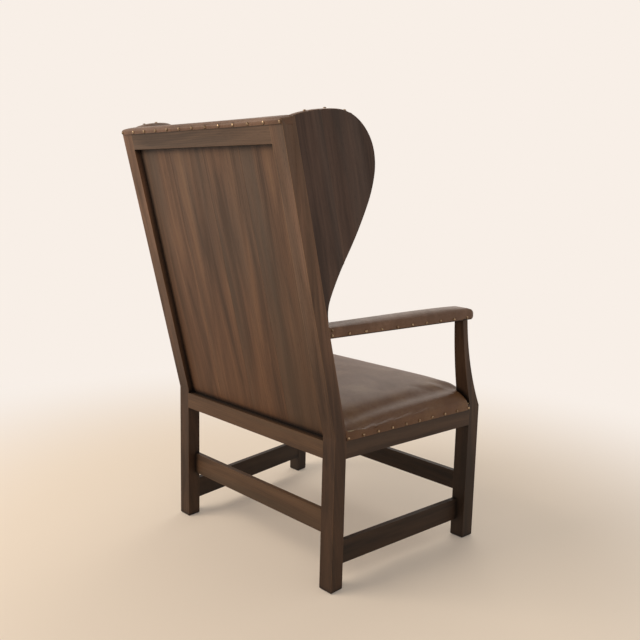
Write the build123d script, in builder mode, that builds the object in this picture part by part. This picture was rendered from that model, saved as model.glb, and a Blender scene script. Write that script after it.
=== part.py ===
from build123d import *
import os
from math import atan, cos, radians, sin, tan

# A wingback armchair: an oak frame with mortise and tenon joints, covered in nailed leather.
# Lengths are in millimetres. +Z is up and the sitter faces -Y. X = 0 is the plane of symmetry,
# and left is the sitter's left, at +X. The origin is on the floor, in the middle of the
# chair's overall width and depth.

# Whole frame
frame_depth = 519  # rear legs' rear face to front legs' front face
rear_half_width = 310  # outer face of a rear leg
front_half_width = 358  # outer face of a front leg, at its front
kink_height = 384  # the rear legs are upright below this and raked above
back_rake = 14.1  # degrees
stile_top = 1089  # rear edge of the stiles' tops
stile_top_rise = 9  # the stiles' tops slope up to the wings
stile_lean_in = 5  # each stile leans in by this much over its height

# Legs
rear_leg_width = 40
rear_leg_depth = 38
front_leg_width = 40
front_leg_depth = 39
foot_chamfer = 3

# Arm posts, each one piece with its front leg
post_front_foot = 379  # height at which the front of the leg starts to sweep back
post_rear_foot = 388
post_front_setback = 67
post_front_bow = 12
post_rear_bow = 5
post_top_width = 27
post_top_depth = 17.5

# Seat rails
seat_rail_bottom = 329
seat_rail_height = 58
seat_rail_thickness = 24
rear_rail_thickness = 56
rear_rail_shelf_height = 43  # the panel stands on this shelf

# Back
top_rail_height = 47
panel_recess = 16  # rear face of the stiles to the panel
panel_thickness = 11
panel_tongue = 7
panel_boards = 4
board_gap = 0.3

# Stretchers
stretcher_thickness = 14
stretcher_inset = 25  # outer face of a leg to the stretcher
rear_stretcher_bottom = 129
rear_stretcher_height = 57
side_stretcher_bottom = 50
side_stretcher_height = 59
front_stretcher_bottom = 135
front_stretcher_height = 52

# Joints
rail_tenon_thickness = 10
stretcher_tenon_thickness = 8
tenon_shoulder = 7
post_tenon_shoulder = 4
rail_tenon = 18
rear_tenon_set = 10  # rear face of the rear rail to its tenon
stretcher_tenon = 24
post_tenon = 14
arm_tenon = 16
arm_tenon_height = 12
arm_tenon_width = 16
arm_tenon_inset = 6
joint_clearance = 0.15
cut_overrun = 10

# Corner blocks under the seat, and their screws
block_leg = 62
block_height = 34
block_drop = 12  # below the top of the rails
screw_radius = 2
screw_head_radius = 4
screw_head_height = 2
screw_sides = 8
screw_length_rear = 56
screw_length_front = 42

# Wings: boards that stand on the stiles' front faces and flare outwards
wing_flare = 16  # degrees
wing_foot = 661
wing_top_rise = 29  # the wings' tops above the stiles' tops
wing_reach = 182
wing_board = 20
wing_joint = 64  # the stile to the joint between the two boards
wing_tongue = 6
wing_tongue_thickness = 6
wing_pad = 12
wing_nail_shares = (0.05, 0.93)
wing_dowel_length = 24
wing_dowel_width = 8
wing_dowel_height = 34

# Outline of a wing, in shares of wing_reach forwards and of wing_height upwards, from its foremost point
wing_front_share = (1.0, 0.8135)
wing_low_shares = [(0.957, 0.709), (0.811, 0.576), (0.405, 0.3206), (0.092, 0.122), (0.008, 0.0)]
wing_top_shares = [(0.838, 0.964), (0.568, 1.0), (0.108, 0.9727), (-0.0865, 0.944)]

# Arms
arm_underside = 622
arm_rail_height = 21
arm_width = 54
arm_nose_setback = 31  # the nose ends this far behind the front leg's front, along the side
arm_skirt = 2  # bare wood below the leather
arm_side_height = 24
arm_crown = 39
arm_dome = 1.5  # the rounding across the arm would rise this far above its crown
arm_rear_drop = 6
arm_tip_past = 2  # the curve of the nose would end this far past it
arm_tip_drop = 33
arm_nose_wood = 3  # height of the rail's wood at the tip of the nose
arm_extra_nail = 12
arm_nose_round = 18

# Seat upholstery
leather = 2
seat_skirt_drop = 14  # lower edge of the leather, below the rails' tops
seat_side_rise = 13  # this rise and the next ones start from the rails' tops
seat_roll_rise = 51
seat_roll_width = 52
seat_front_rise = 56
seat_crown_rise = 67
seat_rear_rise = 43
webbing_width = 50
webbing_thickness = 1.5
webbing_pitch = 110  # about, from one strip to the next
hessian_thickness = 1
webbing_margin = 4
webbing_spread = 220  # the outermost strips' middles, from the centre

# Back upholstery
back_pad_foot_tuck = 6  # below the rear of the seat
back_pad_side_gap = 1.5  # pad to the stile's inner edge, seen from above
back_pad_lumbar = 46
back_pad_middle = 34
back_pad_foot_bulge = 30
back_pad_top_bulge = 24
back_pad_side = 10
back_pad_roll = 46
crest_skirt_drop = 10  # lower edge of the leather on the rear face, below the stiles' tops
crest_sag = 4  # the top rail dips this far between the stiles

# Heights of the back pad's fullest, middle and top points, in shares of its height
back_shares = [0.22, 0.5, 0.9]

# Nails
nail_radius = 4.4
nail_height = 2.6
nail_taper = 42  # degrees
nail_shank = 1.6
nail_length = 11
nail_sides = 6
nail_edge = 5  # leather's edge to the line of nails
crest_nails_count = 13
side_nails_count = 10
front_nails_count = 13
arm_nails_count = 10
wing_nails_count = 13
upholstery_gap = 0.3

# Places worked out from the sizes above
rake_tan = tan(radians(back_rake))
side_splay = atan((front_half_width - rear_half_width) / (frame_depth - rear_leg_depth))
side_tan = tan(side_splay)
seat_rail_top = seat_rail_bottom + seat_rail_height
seat_skirt = seat_rail_top - seat_skirt_drop
seat_side_height = seat_rail_top + seat_side_rise
seat_roll_height = seat_rail_top + seat_roll_rise
seat_front_height = seat_rail_top + seat_front_rise
seat_crown_height = seat_rail_top + seat_crown_rise
seat_rear_height = seat_rail_top + seat_rear_rise
back_pad_foot = seat_rear_height - back_pad_foot_tuck
wing_height = stile_top + wing_top_rise - wing_foot
arm_nose = frame_depth - rear_leg_depth - arm_nose_setback
arm_tip = arm_nose + arm_tip_past
crest_skirt = stile_top - crest_skirt_drop
crest_nail_height = crest_skirt + nail_edge
crest_reach = rake_tan * (crest_nail_height - kink_height)
nail_flat = nail_radius * cos(radians(30)) - nail_height * tan(radians(nail_taper))
crest_proud = (leather + nail_height) * cos(radians(back_rake)) + nail_flat * sin(radians(back_rake))
rear_y = (frame_depth + leather + nail_height - crest_reach - crest_proud) / 2
front_y = rear_y - frame_depth
leg_front_y = rear_y - rear_leg_depth
panel_front = panel_recess + panel_thickness
back_pad_top = stile_top + stile_top_rise - crest_sag + leather
side_length = (frame_depth - rear_leg_depth) / cos(side_splay)


def rear_face(z):
    """Y of the legs' rear face at a height."""
    return rear_y + max(0, z - kink_height) * rake_tan


def raked(z, depth):
    """Y at a height, in the raked plane that lies this far in front of the back's rear face."""
    return rear_y + (z - kink_height) * rake_tan - depth


def stile_outer(z):
    """X of a stile's outer face at a height."""
    return rear_half_width - stile_lean_in * max(0, z - kink_height) / (stile_top - kink_height)


side_forward = Vector(sin(side_splay), -cos(side_splay), 0)
side_inward = Vector(-cos(side_splay), -sin(side_splay), 0)
side_corner = Vector(rear_half_width, leg_front_y, 0)
# In this plane x runs forwards along the side of the chair, y up, and z inwards.
side_plane = Plane(origin=side_corner, x_dir=side_forward, z_dir=side_inward)
# Across the side: x runs inwards, y up, and z backwards.
across_plane = Plane(origin=side_corner, x_dir=side_inward, z_dir=-side_forward)
# From above: x runs forwards along the side, y outwards.
arm_plane = Plane(
    origin=side_corner + Vector(0, 0, arm_underside), x_dir=side_forward, z_dir=(0, 0, 1)
)
# The back's rear face: x across, y up the rake, z backwards.
back_up = Vector(0, sin(radians(back_rake)), cos(radians(back_rake)))
back_normal = Vector(0, cos(radians(back_rake)), -sin(radians(back_rake)))
# The stiles' front faces: x across, z forwards.
stile_front = Plane(origin=(0, leg_front_y, kink_height), x_dir=(1, 0, 0), z_dir=-back_normal)


# Legs


def rear_leg_form(grow=0):
    """The left rear leg and stile as one bent board, without its joints."""
    top = stile_top + grow
    with BuildPart() as form:
        with BuildSketch(Plane.YZ):
            with BuildLine():
                Polyline(
                    (rear_y, 0),
                    (rear_y, kink_height),
                    (rear_face(top), top),
                    (rear_face(top + stile_top_rise) - rear_leg_depth, top + stile_top_rise),
                    (leg_front_y, kink_height),
                    (leg_front_y, 0),
                    close=True,
                )
            make_face()
            if grow:
                offset(amount=grow)
        extrude(amount=rear_half_width + cut_overrun)
        with BuildSketch(Plane.XZ.offset(-rear_face(stile_top) - cut_overrun)):
            with BuildLine():
                Polyline(
                    (rear_half_width, 0),
                    (rear_half_width, kink_height),
                    (stile_outer(top + cut_overrun), top + cut_overrun),
                    (stile_outer(top + cut_overrun) - rear_leg_width, top + cut_overrun),
                    (rear_half_width - rear_leg_width, kink_height),
                    (rear_half_width - rear_leg_width, 0),
                    close=True,
                )
            make_face()
            if grow:
                offset(amount=grow)
        extrude(amount=2 * frame_depth, mode=Mode.INTERSECT)
    return form.part


def front_leg_form(grow=0, notch=False):
    """The left front leg with its swept arm post. A notch fills the hollow in front of the post."""
    rear_foot_y = front_y + front_leg_depth
    post_front_y = front_y + post_front_setback
    post_rear_y = post_front_y + post_top_depth
    front_mid = ((front_y + post_front_y) / 2 + post_front_bow, (post_front_foot + arm_underside) / 2)
    rear_mid = ((rear_foot_y + post_rear_y) / 2 + post_rear_bow, (post_rear_foot + arm_underside) / 2)
    with BuildPart() as form:
        with BuildSketch(Plane.YZ):
            with BuildLine():
                Line((rear_foot_y, 0), (rear_foot_y, post_rear_foot))
                ThreePointArc((rear_foot_y, post_rear_foot), rear_mid, (post_rear_y, arm_underside))
                if notch:
                    Polyline(
                        (post_rear_y, arm_underside), (front_y - cut_overrun, arm_underside),
                        (front_y - cut_overrun, 0), (rear_foot_y, 0),
                    )
                else:
                    Line((post_rear_y, arm_underside), (post_front_y, arm_underside))
                    ThreePointArc((post_front_y, arm_underside), front_mid, (front_y, post_front_foot))
                    Polyline((front_y, post_front_foot), (front_y, 0), (rear_foot_y, 0))
            make_face()
            if grow:
                offset(amount=grow)
        extrude(amount=front_half_width + cut_overrun)
        with BuildSketch(across_plane.offset(cut_overrun)):
            with BuildLine():
                Polyline(
                    (0, 0),
                    (0, arm_underside),
                    (post_top_width, arm_underside),
                    (front_leg_width, seat_rail_top),
                    (front_leg_width, 0),
                    close=True,
                )
            make_face()
            if grow:
                offset(amount=grow)
        extrude(amount=-side_length - 2 * cut_overrun, mode=Mode.INTERSECT)
    return form.part


def brick(plane, x, y, depth, width, height):
    """A block on a plane: centred on x and y there, and depth thick along its normal."""
    with BuildPart() as form:
        with BuildSketch(plane):
            with Locations((x, y)):
                Rectangle(width, height)
        extrude(amount=depth)
    return form.part


def mirrored(form):
    """The same form on the other side of the chair."""
    with BuildPart() as other:
        mirror(form, about=Plane.YZ)
    return other.part


rear_leg_solid = rear_leg_form()
front_leg_solid = front_leg_form()
leg_solids = [rear_leg_solid, mirrored(rear_leg_solid), front_leg_solid, mirrored(front_leg_solid)]


def cross_bar(y, z, thickness, height, half_length):
    """A bar straight across the chair, its rear face at y and its bottom at z. It ends inside the legs."""
    with BuildPart() as bar:
        with BuildSketch(Plane.YZ):
            with Locations((y, z)):
                Rectangle(thickness, height, align=(Align.MAX, Align.MIN))
        extrude(amount=half_length, both=True)
    return bar.part


def bar_tongue(y, z, thickness, height, half_length, grow=0):
    """A long tongue inside a cross bar: its two ends are the bar's tenons."""
    with BuildPart() as tongue:
        with BuildSketch(Plane.YZ):
            with Locations((y, z + height / 2)):
                Rectangle(thickness + 2 * grow, height - 2 * tenon_shoulder + 2 * grow)
        extrude(amount=half_length + grow, both=True)
    return tongue.part


def side_bar(inset, z, thickness, height):
    """A bar along the left side, its outer face set in from the legs' and its bottom at z."""
    with BuildPart() as bar:
        with BuildSketch(side_plane.offset(inset)):
            with Locations((-cut_overrun, z)):
                Rectangle(
                    side_length - front_leg_depth + 2 * cut_overrun, height, align=(Align.MIN, Align.MIN)
                )
        extrude(amount=thickness)
    return bar.part


def side_tongue(inset, z, thickness, height, length, grow=0):
    """A long tongue inside a side bar, inset to its middle: its two ends are the bar's tenons."""
    start = -length - grow
    run = side_length - front_leg_depth + 2 * (length + grow)
    with BuildPart() as tongue:
        with BuildSketch(side_plane.offset(inset - thickness / 2 - grow)):
            with Locations((start, z + height / 2)):
                Rectangle(run, height - 2 * tenon_shoulder + 2 * grow, align=(Align.MIN, Align.CENTER))
        extrude(amount=thickness + 2 * grow)
    return tongue.part


def raked_slab(near, far, low, high, margin):
    """A slab in the back: between two depths behind its rear face, and this far past the stiles' inner edges."""
    side = rear_leg_width - margin
    with BuildPart() as slab:
        with BuildSketch(Plane.YZ):
            with BuildLine():
                Polyline(
                    (raked(low, near), low), (raked(high, near), high),
                    (raked(high, far), high), (raked(low, far), low), close=True,
                )
            make_face()
        extrude(amount=rear_half_width, both=True)
        with BuildSketch(Plane.XZ):
            with BuildLine():
                Polyline(
                    (stile_outer(low) - side, low), (stile_outer(high) - side, high),
                    (side - stile_outer(high), high), (side - stile_outer(low), low), close=True,
                )
            make_face()
        extrude(amount=frame_depth, both=True, mode=Mode.INTERSECT)
    return slab.part


# Places of the bars, worked out once for the bars and for their mortises
rear_inner = rear_half_width - rear_leg_width
front_inner = front_half_width - front_leg_width
rear_middle = rear_half_width - rear_leg_width / 2
front_middle = front_half_width - front_leg_width / 2
top_rail_bottom = stile_top - top_rail_height
shelf_height = seat_rail_bottom + rear_rail_shelf_height
shelf_depth = panel_front + rake_tan * (kink_height - shelf_height) + joint_clearance
rear_rail_tongue = (
    rear_y - rear_tenon_set, seat_rail_bottom, rail_tenon_thickness,
    rear_rail_shelf_height, rear_inner + rail_tenon
)
front_rail_tongue = (
    front_y + seat_rail_thickness / 2, seat_rail_bottom, rail_tenon_thickness,
    seat_rail_height, front_inner + rail_tenon
)
rear_stretcher_y = rear_y - stretcher_inset
front_stretcher_y = front_y + stretcher_inset + stretcher_thickness
rear_stretcher_tongue = (
    rear_stretcher_y - stretcher_thickness / 2, rear_stretcher_bottom, stretcher_tenon_thickness,
    rear_stretcher_height, rear_inner + stretcher_tenon
)
front_stretcher_tongue = (
    front_stretcher_y - stretcher_thickness / 2, front_stretcher_bottom, stretcher_tenon_thickness,
    front_stretcher_height, front_inner + stretcher_tenon
)
side_rail_tongue = (
    seat_rail_thickness / 2, seat_rail_bottom, rail_tenon_thickness, seat_rail_height, rail_tenon
)
side_stretcher_tongue = (
    stretcher_inset + stretcher_thickness / 2, side_stretcher_bottom, stretcher_tenon_thickness,
    side_stretcher_height, stretcher_tenon
)
top_rail_near = (rear_leg_depth - rail_tenon_thickness) / 2
top_rail_tongue = (
    top_rail_near, top_rail_near + rail_tenon_thickness,
    top_rail_bottom + tenon_shoulder, stile_top - 2 * tenon_shoulder
)

# Arms: the wooden rail under the padding, and its joints
arm_start = -rake_tan * (arm_underside + arm_crown - kink_height) / cos(side_splay) - cut_overrun
arm_middle = -arm_width / 2
post_top_y = front_y + post_front_setback + post_top_depth / 2
post_forward = (leg_front_y - post_top_y) / cos(side_splay)
with BuildPart() as arm_core:
    with BuildSketch(arm_plane) as arm_core_plan:
        with Locations((arm_start, arm_middle)):
            Rectangle(arm_nose - leather - arm_start, arm_width - 2 * leather, align=(Align.MIN, Align.CENTER))
        fillet(arm_core_plan.vertices().sort_by(Axis.X)[-2:], arm_nose_round)
    extrude(amount=arm_rail_height)
    with BuildSketch(side_plane):
        with BuildLine():
            Polyline(
                (arm_start, arm_underside), (arm_start, arm_underside + arm_rail_height),
                (arm_nose - leather - arm_nose_round, arm_underside + arm_rail_height),
                (arm_nose - leather, arm_underside + arm_nose_wood), (arm_nose - leather, arm_underside),
                close=True,
            )
        make_face()
    extrude(amount=arm_width, mode=Mode.INTERSECT)
    split(bisect_by=stile_front, keep=Keep.TOP)


def arm_tongue(grow=0):
    """The tenon at the rear of the arm, inside the stile."""
    with BuildPart() as tongue:
        with BuildSketch(arm_plane.offset((arm_rail_height - arm_tenon_height) / 2 - grow)):
            with Locations((arm_start + cut_overrun - arm_tenon - grow, -arm_tenon_inset - arm_tenon_width / 2)):
                Rectangle(
                    arm_tenon + 2 * cut_overrun + 2 * grow, arm_tenon_width + 2 * grow,
                    align=(Align.MIN, Align.CENTER),
                )
        extrude(amount=arm_tenon_height + 2 * grow)
    return tongue.part


def post_tongue(grow=0):
    """The tenon on top of the arm post, inside the arm."""
    return brick(
        arm_plane.offset(-cut_overrun), post_forward, -post_top_width / 2, cut_overrun + post_tenon + grow,
        post_top_depth - 2 * post_tenon_shoulder + 2 * grow, post_top_width - 2 * post_tenon_shoulder + 2 * grow,
    )


# Wings: the plane of the left wing's outer face, x forwards, y up the stile, z inwards
wing_forward = Vector(sin(radians(wing_flare)), -cos(radians(wing_flare)), 0)
stile_edge = Vector(
    stile_outer(stile_top) - rear_half_width, rake_tan * (stile_top - kink_height), stile_top - kink_height
)
stile_edge = stile_edge / (stile_top - kink_height)
wing_plane = Plane(
    origin=(stile_outer(wing_foot), raked(wing_foot, rear_leg_depth), wing_foot),
    x_dir=wing_forward,
    z_dir=wing_forward.cross(stile_edge),
)
wing_skew = stile_edge.dot(wing_plane.x_dir)
wing_rise = stile_edge.dot(wing_plane.y_dir)


def wing_point(forward, up):
    """A point of the wing's plane: its distance in front of the stile, its height above the wing's foot."""
    return (forward + up * wing_skew, up * wing_rise)


def wing_points(shares):
    """Points of the wing's plane from shares of its reach and height."""
    return [wing_point(x * wing_reach, y * wing_height) for x, y in shares]


wing_low = wing_points([wing_front_share] + wing_low_shares)
wing_top = wing_points([wing_front_share] + wing_top_shares)


def wing_edge():
    """Draws the free edge of a wing: smooth arcs, down to its foot and up and over to the stile."""
    for points, heading in ((wing_low, Vector(-wing_skew, -1)), (wing_top, Vector(wing_skew, 1))):
        for start, end in zip(points, points[1:]):
            heading = TangentArc(start, end, tangent=heading) % 1


def wing_form(grow, outer, inner):
    """The left wing's outline, grown all round, between two depths inwards from its outer face."""
    foot_x, foot_y = wing_low[-1]
    with BuildPart() as form:
        with BuildSketch(wing_plane.offset(outer)):
            with BuildLine():
                wing_edge()
                Polyline(wing_top[-1], (foot_x - front_leg_width, foot_y), (foot_x, foot_y))
            make_face()
            if grow:
                offset(amount=grow)
        extrude(amount=inner - outer)
        split(bisect_by=stile_front, keep=Keep.TOP)
    return form.part


def wing_strip(start, end, outer, inner):
    """A strip that runs up the whole wing, between two distances in front of the stile."""
    with BuildPart() as strip:
        with BuildSketch(wing_plane.offset(outer)):
            with BuildLine():
                Polyline(
                    wing_point(start, -wing_height), wing_point(start, 2 * wing_height),
                    wing_point(end, 2 * wing_height), wing_point(end, -wing_height), close=True,
                )
            make_face()
        extrude(amount=inner - outer)
    return strip.part


def wing_keys(grow=0):
    """Loose tenons between the stile and the wing."""
    keys = [0.34, 0.52, 0.7, 0.88]
    depth = (wing_board - wing_dowel_width) / 2
    with BuildPart() as form:
        with BuildSketch(wing_plane.offset(depth - grow)):
            with Locations(*[wing_point(0, share * wing_height) for share in keys]):
                Rectangle(wing_dowel_length + 2 * grow, wing_dowel_height + 2 * grow)
        extrude(amount=wing_dowel_width + 2 * grow)
    return form.part


# Nails


def along(count, start, end):
    """Evenly spaced values from start to end."""
    return [start + (end - start) * i / (count - 1) for i in range(count)]


def side_point(forward, inward, z):
    """A point from its place along the left side, its distance in from it and its height."""
    return side_corner + side_forward * forward + side_inward * inward + Vector(0, 0, z)


def nail_places(points, x_dir, z_dir):
    """A plane at each point, its z pointing out of the leather."""
    return [Plane(origin=point, x_dir=x_dir, z_dir=z_dir) for point in points]


crest_half_width = stile_outer(stile_top)
crest_end = crest_half_width - nail_edge
crest_face_y = raked(crest_nail_height, 0)
crest_places = nail_places(
    [
        Vector(x, crest_face_y, crest_nail_height) + back_normal * leather
        for x in along(crest_nails_count, -crest_end, crest_end)
    ],
    (1, 0, 0), back_normal,
)
seat_nail_height = seat_skirt + nail_edge
side_reach = side_length - front_leg_depth / cos(side_splay)
side_places = nail_places(
    [
        side_point(t, -leather, seat_nail_height)
        for t in along(side_nails_count, nail_edge, side_reach - nail_edge)
    ],
    side_forward, -side_inward,
)
front_places = nail_places(
    [
        Vector(x, front_y - leather, seat_nail_height)
        for x in along(front_nails_count, nail_edge - front_inner, front_inner - nail_edge)
    ],
    (1, 0, 0), (0, -1, 0),
)
arm_nail_height = arm_underside + arm_skirt + nail_edge
arm_first = 2 * nail_edge - rake_tan * (arm_nail_height - kink_height) / cos(side_splay)
arm_spots = along(arm_nails_count, arm_first, arm_nose - 2 * arm_nose_round)
arm_inner_spots = along(arm_nails_count - 1, arm_first + back_pad_lumbar, arm_nose - 2 * arm_nose_round)
arm_places = (
    nail_places([side_point(t, 0, arm_nail_height) for t in arm_spots], side_forward, -side_inward)
    + nail_places([side_point(t, arm_width, arm_nail_height) for t in arm_inner_spots], side_forward, side_inward)
    + nail_places([side_point(arm_first, 0, arm_nail_height + arm_extra_nail)], side_forward, -side_inward)
    + nail_places([side_point(arm_nose, arm_width / 2, arm_nail_height)], side_inward, side_forward)
)
with BuildLine() as wing_rim:
    wing_edge()
rim = wing_rim.wire()
rim_plane = wing_plane.offset(wing_board / 2)
rim_turn = -1 if rim.position_at(0).Y > rim.position_at(1).Y else 1
wing_places = []
for share in along(wing_nails_count, *wing_nail_shares):
    share = share if rim_turn > 0 else 1 - share
    heading = rim.tangent_at(share) * rim_turn
    outward = rim_plane.x_dir * heading.Y - rim_plane.y_dir * heading.X
    spot = rim_plane.from_local_coords(rim.position_at(share)) + outward * leather
    wing_places += nail_places([spot], rim_plane.z_dir, outward)

with BuildPart() as nail:
    with BuildSketch():
        RegularPolygon(nail_radius, nail_sides)
    extrude(amount=nail_height, taper=nail_taper)
    with BuildSketch():
        Rectangle(nail_shank, nail_shank)
    extrude(amount=-nail_length)


def shanks(places):
    """The nails' square shanks alone, to cut their holes."""
    with BuildPart() as holes:
        with Locations(*[place.location for place in places]):
            Box(nail_shank, nail_shank, nail_length, align=(Align.CENTER, Align.CENTER, Align.MAX))
    return holes.part


# Upholstered forms. Each is drawn with its faces set in, so that two of them make a skin of leather.
across_mirror = Plane(
    origin=(-side_corner.X, side_corner.Y, 0), x_dir=(-side_inward.X, side_inward.Y, 0),
    z_dir=(-side_forward.X, side_forward.Y, 0),
)


def seat_form(inset):
    """The whole upholstered seat, cut round the posts and up to the back."""
    base = seat_skirt - 2 * inset
    front = front_y - leather
    low = raked(kink_height, rear_leg_depth)
    rear = raked(seat_rear_height, rear_leg_depth)
    notch = front_leg_form(upholstery_gap + inset, notch=True)
    with BuildPart() as form:
        with BuildSketch(Plane.YZ):
            with BuildLine():
                Polyline(
                    (front, seat_side_height), (front, base), (low, base), (low, kink_height),
                    (rear, seat_rear_height)
                )
                crown = ThreePointArc(
                    (rear, seat_rear_height), (front_y + frame_depth / 2, seat_crown_height),
                    (front_y + seat_roll_width, seat_front_height),
                )
                TangentArc(crown @ 1, (front, seat_side_height), tangent=crown % 1)
            make_face()
            if inset:
                offset(amount=-inset)
        extrude(amount=front_half_width + cut_overrun, both=True)
        for plane in (across_plane, across_mirror):
            with BuildSketch(plane):
                with BuildLine():
                    crown = TangentArc(
                        (front_half_width, seat_crown_height), (seat_roll_width, seat_roll_height), tangent=(-1, 0)
                    )
                    TangentArc(crown @ 1, (-leather, seat_side_height), tangent=crown % 1)
                    Polyline(
                        (-leather, seat_side_height), (-leather, base), (3 * front_half_width, base),
                        (3 * front_half_width, seat_crown_height), (front_half_width, seat_crown_height),
                    )
                make_face()
                if inset:
                    offset(amount=-inset)
            extrude(amount=2 * frame_depth, both=True, mode=Mode.INTERSECT)
        add(notch, mode=Mode.SUBTRACT)
        mirror(notch, about=Plane.YZ, mode=Mode.SUBTRACT)
    return form.part


def arm_form(inset):
    """The upholstered top of the left arm."""
    base = arm_underside + arm_skirt - 2 * inset
    top = arm_underside + arm_crown
    shoulder = arm_underside + arm_side_height
    with BuildPart() as form:
        with BuildSketch(arm_plane.offset(base - arm_underside)) as plan:
            with Locations((arm_start, arm_middle)):
                Rectangle(arm_nose - inset - arm_start, arm_width - 2 * inset, align=(Align.MIN, Align.CENTER))
            fillet(plan.vertices().sort_by(Axis.X)[-2:], arm_nose_round)
        extrude(amount=2 * arm_crown)
        with BuildSketch(side_plane.offset(-cut_overrun)):
            with BuildLine():
                crown = ThreePointArc(
                    (arm_start, top - arm_rear_drop), (arm_nose / 2, top),
                    (arm_nose - 2 * arm_nose_round, top - arm_rear_drop),
                )
                TangentArc(crown @ 1, (arm_tip, top - arm_tip_drop), tangent=crown % 1)
                Polyline(
                    (arm_tip, top - arm_tip_drop), (arm_tip, base),
                    (arm_start, base), (arm_start, top - arm_rear_drop),
                )
            make_face()
            if inset:
                offset(amount=-inset)
        extrude(amount=arm_width + 2 * cut_overrun, mode=Mode.INTERSECT)
        with BuildSketch(across_plane):
            with BuildLine():
                Polyline((0, shoulder), (0, base), (arm_width, base), (arm_width, shoulder))
                ThreePointArc((arm_width, shoulder), (arm_width / 2, top + arm_dome), (0, shoulder))
            make_face()
            if inset:
                offset(amount=-inset)
        extrude(amount=2 * frame_depth, both=True, mode=Mode.INTERSECT)
        split(bisect_by=stile_front, keep=Keep.TOP)
    return form.part


def back_point(depth, share):
    """A point of the back pad's profile: its depth in front of the stiles, and a share of its height."""
    z = back_pad_foot + share * (back_pad_top - back_pad_foot)
    return (raked(z, rear_leg_depth + depth), z)


def back_form(inset):
    """The back's padded front, from the seat to the top rail."""
    behind = -inset / cos(radians(back_rake))
    half_width = rear_half_width - rear_leg_width - back_pad_side_gap
    front = -back_pad_lumbar - back_pad_side
    with BuildPart() as form:
        with BuildSketch(Plane.YZ):
            with BuildLine():
                Polyline(back_point(behind, 1), back_point(behind, 0), back_point(back_pad_foot_bulge, 0))
                swell = ThreePointArc(
                    back_point(back_pad_foot_bulge, 0), back_point(back_pad_lumbar, back_shares[0]),
                    back_point(back_pad_middle, back_shares[1]),
                )
                rise = Line(swell @ 1, back_point(back_pad_top_bulge, back_shares[2]))
                TangentArc(rise @ 1, back_point(0, 1), tangent=rise % 1)
                if behind:
                    Line(back_point(0, 1), back_point(behind, 1))
            make_face()
            if inset:
                offset(amount=-inset)
        extrude(amount=front_half_width, both=True)
        with BuildSketch(Plane(origin=stile_front.origin, x_dir=(1, 0, 0), z_dir=back_up)):
            with BuildLine():
                face = Line((back_pad_roll - half_width, front), (half_width - back_pad_roll, front))
                TangentArc(face @ 1, (half_width, front + back_pad_roll), tangent=(1, 0))
                TangentArc(face @ 0, (-half_width, front + back_pad_roll), tangent=(-1, 0))
                Polyline(
                    (half_width, front + back_pad_roll), (half_width, frame_depth / 4),
                    (-half_width, frame_depth / 4), (-half_width, front + back_pad_roll),
                )
            make_face()
            if inset:
                offset(amount=-inset)
        extrude(amount=stile_top, mode=Mode.INTERSECT)
    return form.part


def crest_block(lift, low):
    """The back's top from one height up, as wide as the stiles and raised by lift all over."""
    behind = -lift / cos(radians(back_rake))
    high = stile_top + lift
    front_high = high + stile_top_rise
    with BuildPart() as block:
        with BuildSketch(Plane.YZ):
            with BuildLine():
                Polyline(
                    (raked(low, behind), low), (raked(high, behind), high),
                    (raked(front_high, rear_leg_depth), front_high), (raked(low, rear_leg_depth), low),
                    close=True,
                )
            make_face()
        extrude(amount=crest_half_width, both=True)
        with BuildSketch(Plane.XZ):
            with BuildLine():
                Polyline(
                    (crest_half_width, front_high), (crest_half_width, low),
                    (-crest_half_width, low), (-crest_half_width, front_high),
                )
                ThreePointArc(
                    (-crest_half_width, front_high), (0, front_high - crest_sag), (crest_half_width, front_high)
                )
            make_face()
        extrude(amount=frame_depth, both=True, mode=Mode.INTERSECT)
    return block.part


# The frame. Mortises and grooves are the mating tenons and tongues, grown by the joint's clearance.
clear = joint_clearance


def panel_slab(grow=0):
    """The back panel with the tongues that run in the stiles and the top rail."""
    return raked_slab(
        panel_recess - grow, panel_front + grow, shelf_height - grow, top_rail_bottom + panel_tongue + grow,
        panel_tongue + grow,
    )


def wing_groove(grow):
    """The tongue of a wing's front board, inside its rear board."""
    depth = (wing_board - wing_tongue_thickness) / 2
    return wing_strip(
        wing_joint - wing_tongue - grow, wing_joint + grow, depth - grow, depth + wing_tongue_thickness + grow
    )


# Inner corners of the seat rails, with the way round that their blocks go, and the blocks' screws
block_corners = [
    (
        rear_half_width - seat_rail_thickness / cos(side_splay)
        + side_tan * (rear_rail_thickness - rear_leg_depth),
        rear_y - rear_rail_thickness, 1,
    ),
    (
        front_half_width - seat_rail_thickness / cos(side_splay) - side_tan * seat_rail_thickness,
        front_y + seat_rail_thickness, -1,
    ),
]
with BuildPart() as screw_set:
    for (x, y, turn), length in zip(block_corners, (screw_length_rear, screw_length_front)):
        middle = Vector(x - block_leg / 2, y - turn * block_leg / 2, seat_rail_top - block_drop - block_height / 2)
        with BuildSketch(Plane(origin=middle, z_dir=(-1, -turn, 0))):
            RegularPolygon(screw_head_radius, screw_sides)
        extrude(amount=screw_head_height)
        with BuildSketch(Plane(origin=middle, z_dir=(-1, -turn, 0))):
            RegularPolygon(screw_radius, screw_sides)
        extrude(amount=-length)
corner_screws = screw_set.part

os.makedirs("parts", exist_ok=True)

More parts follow.
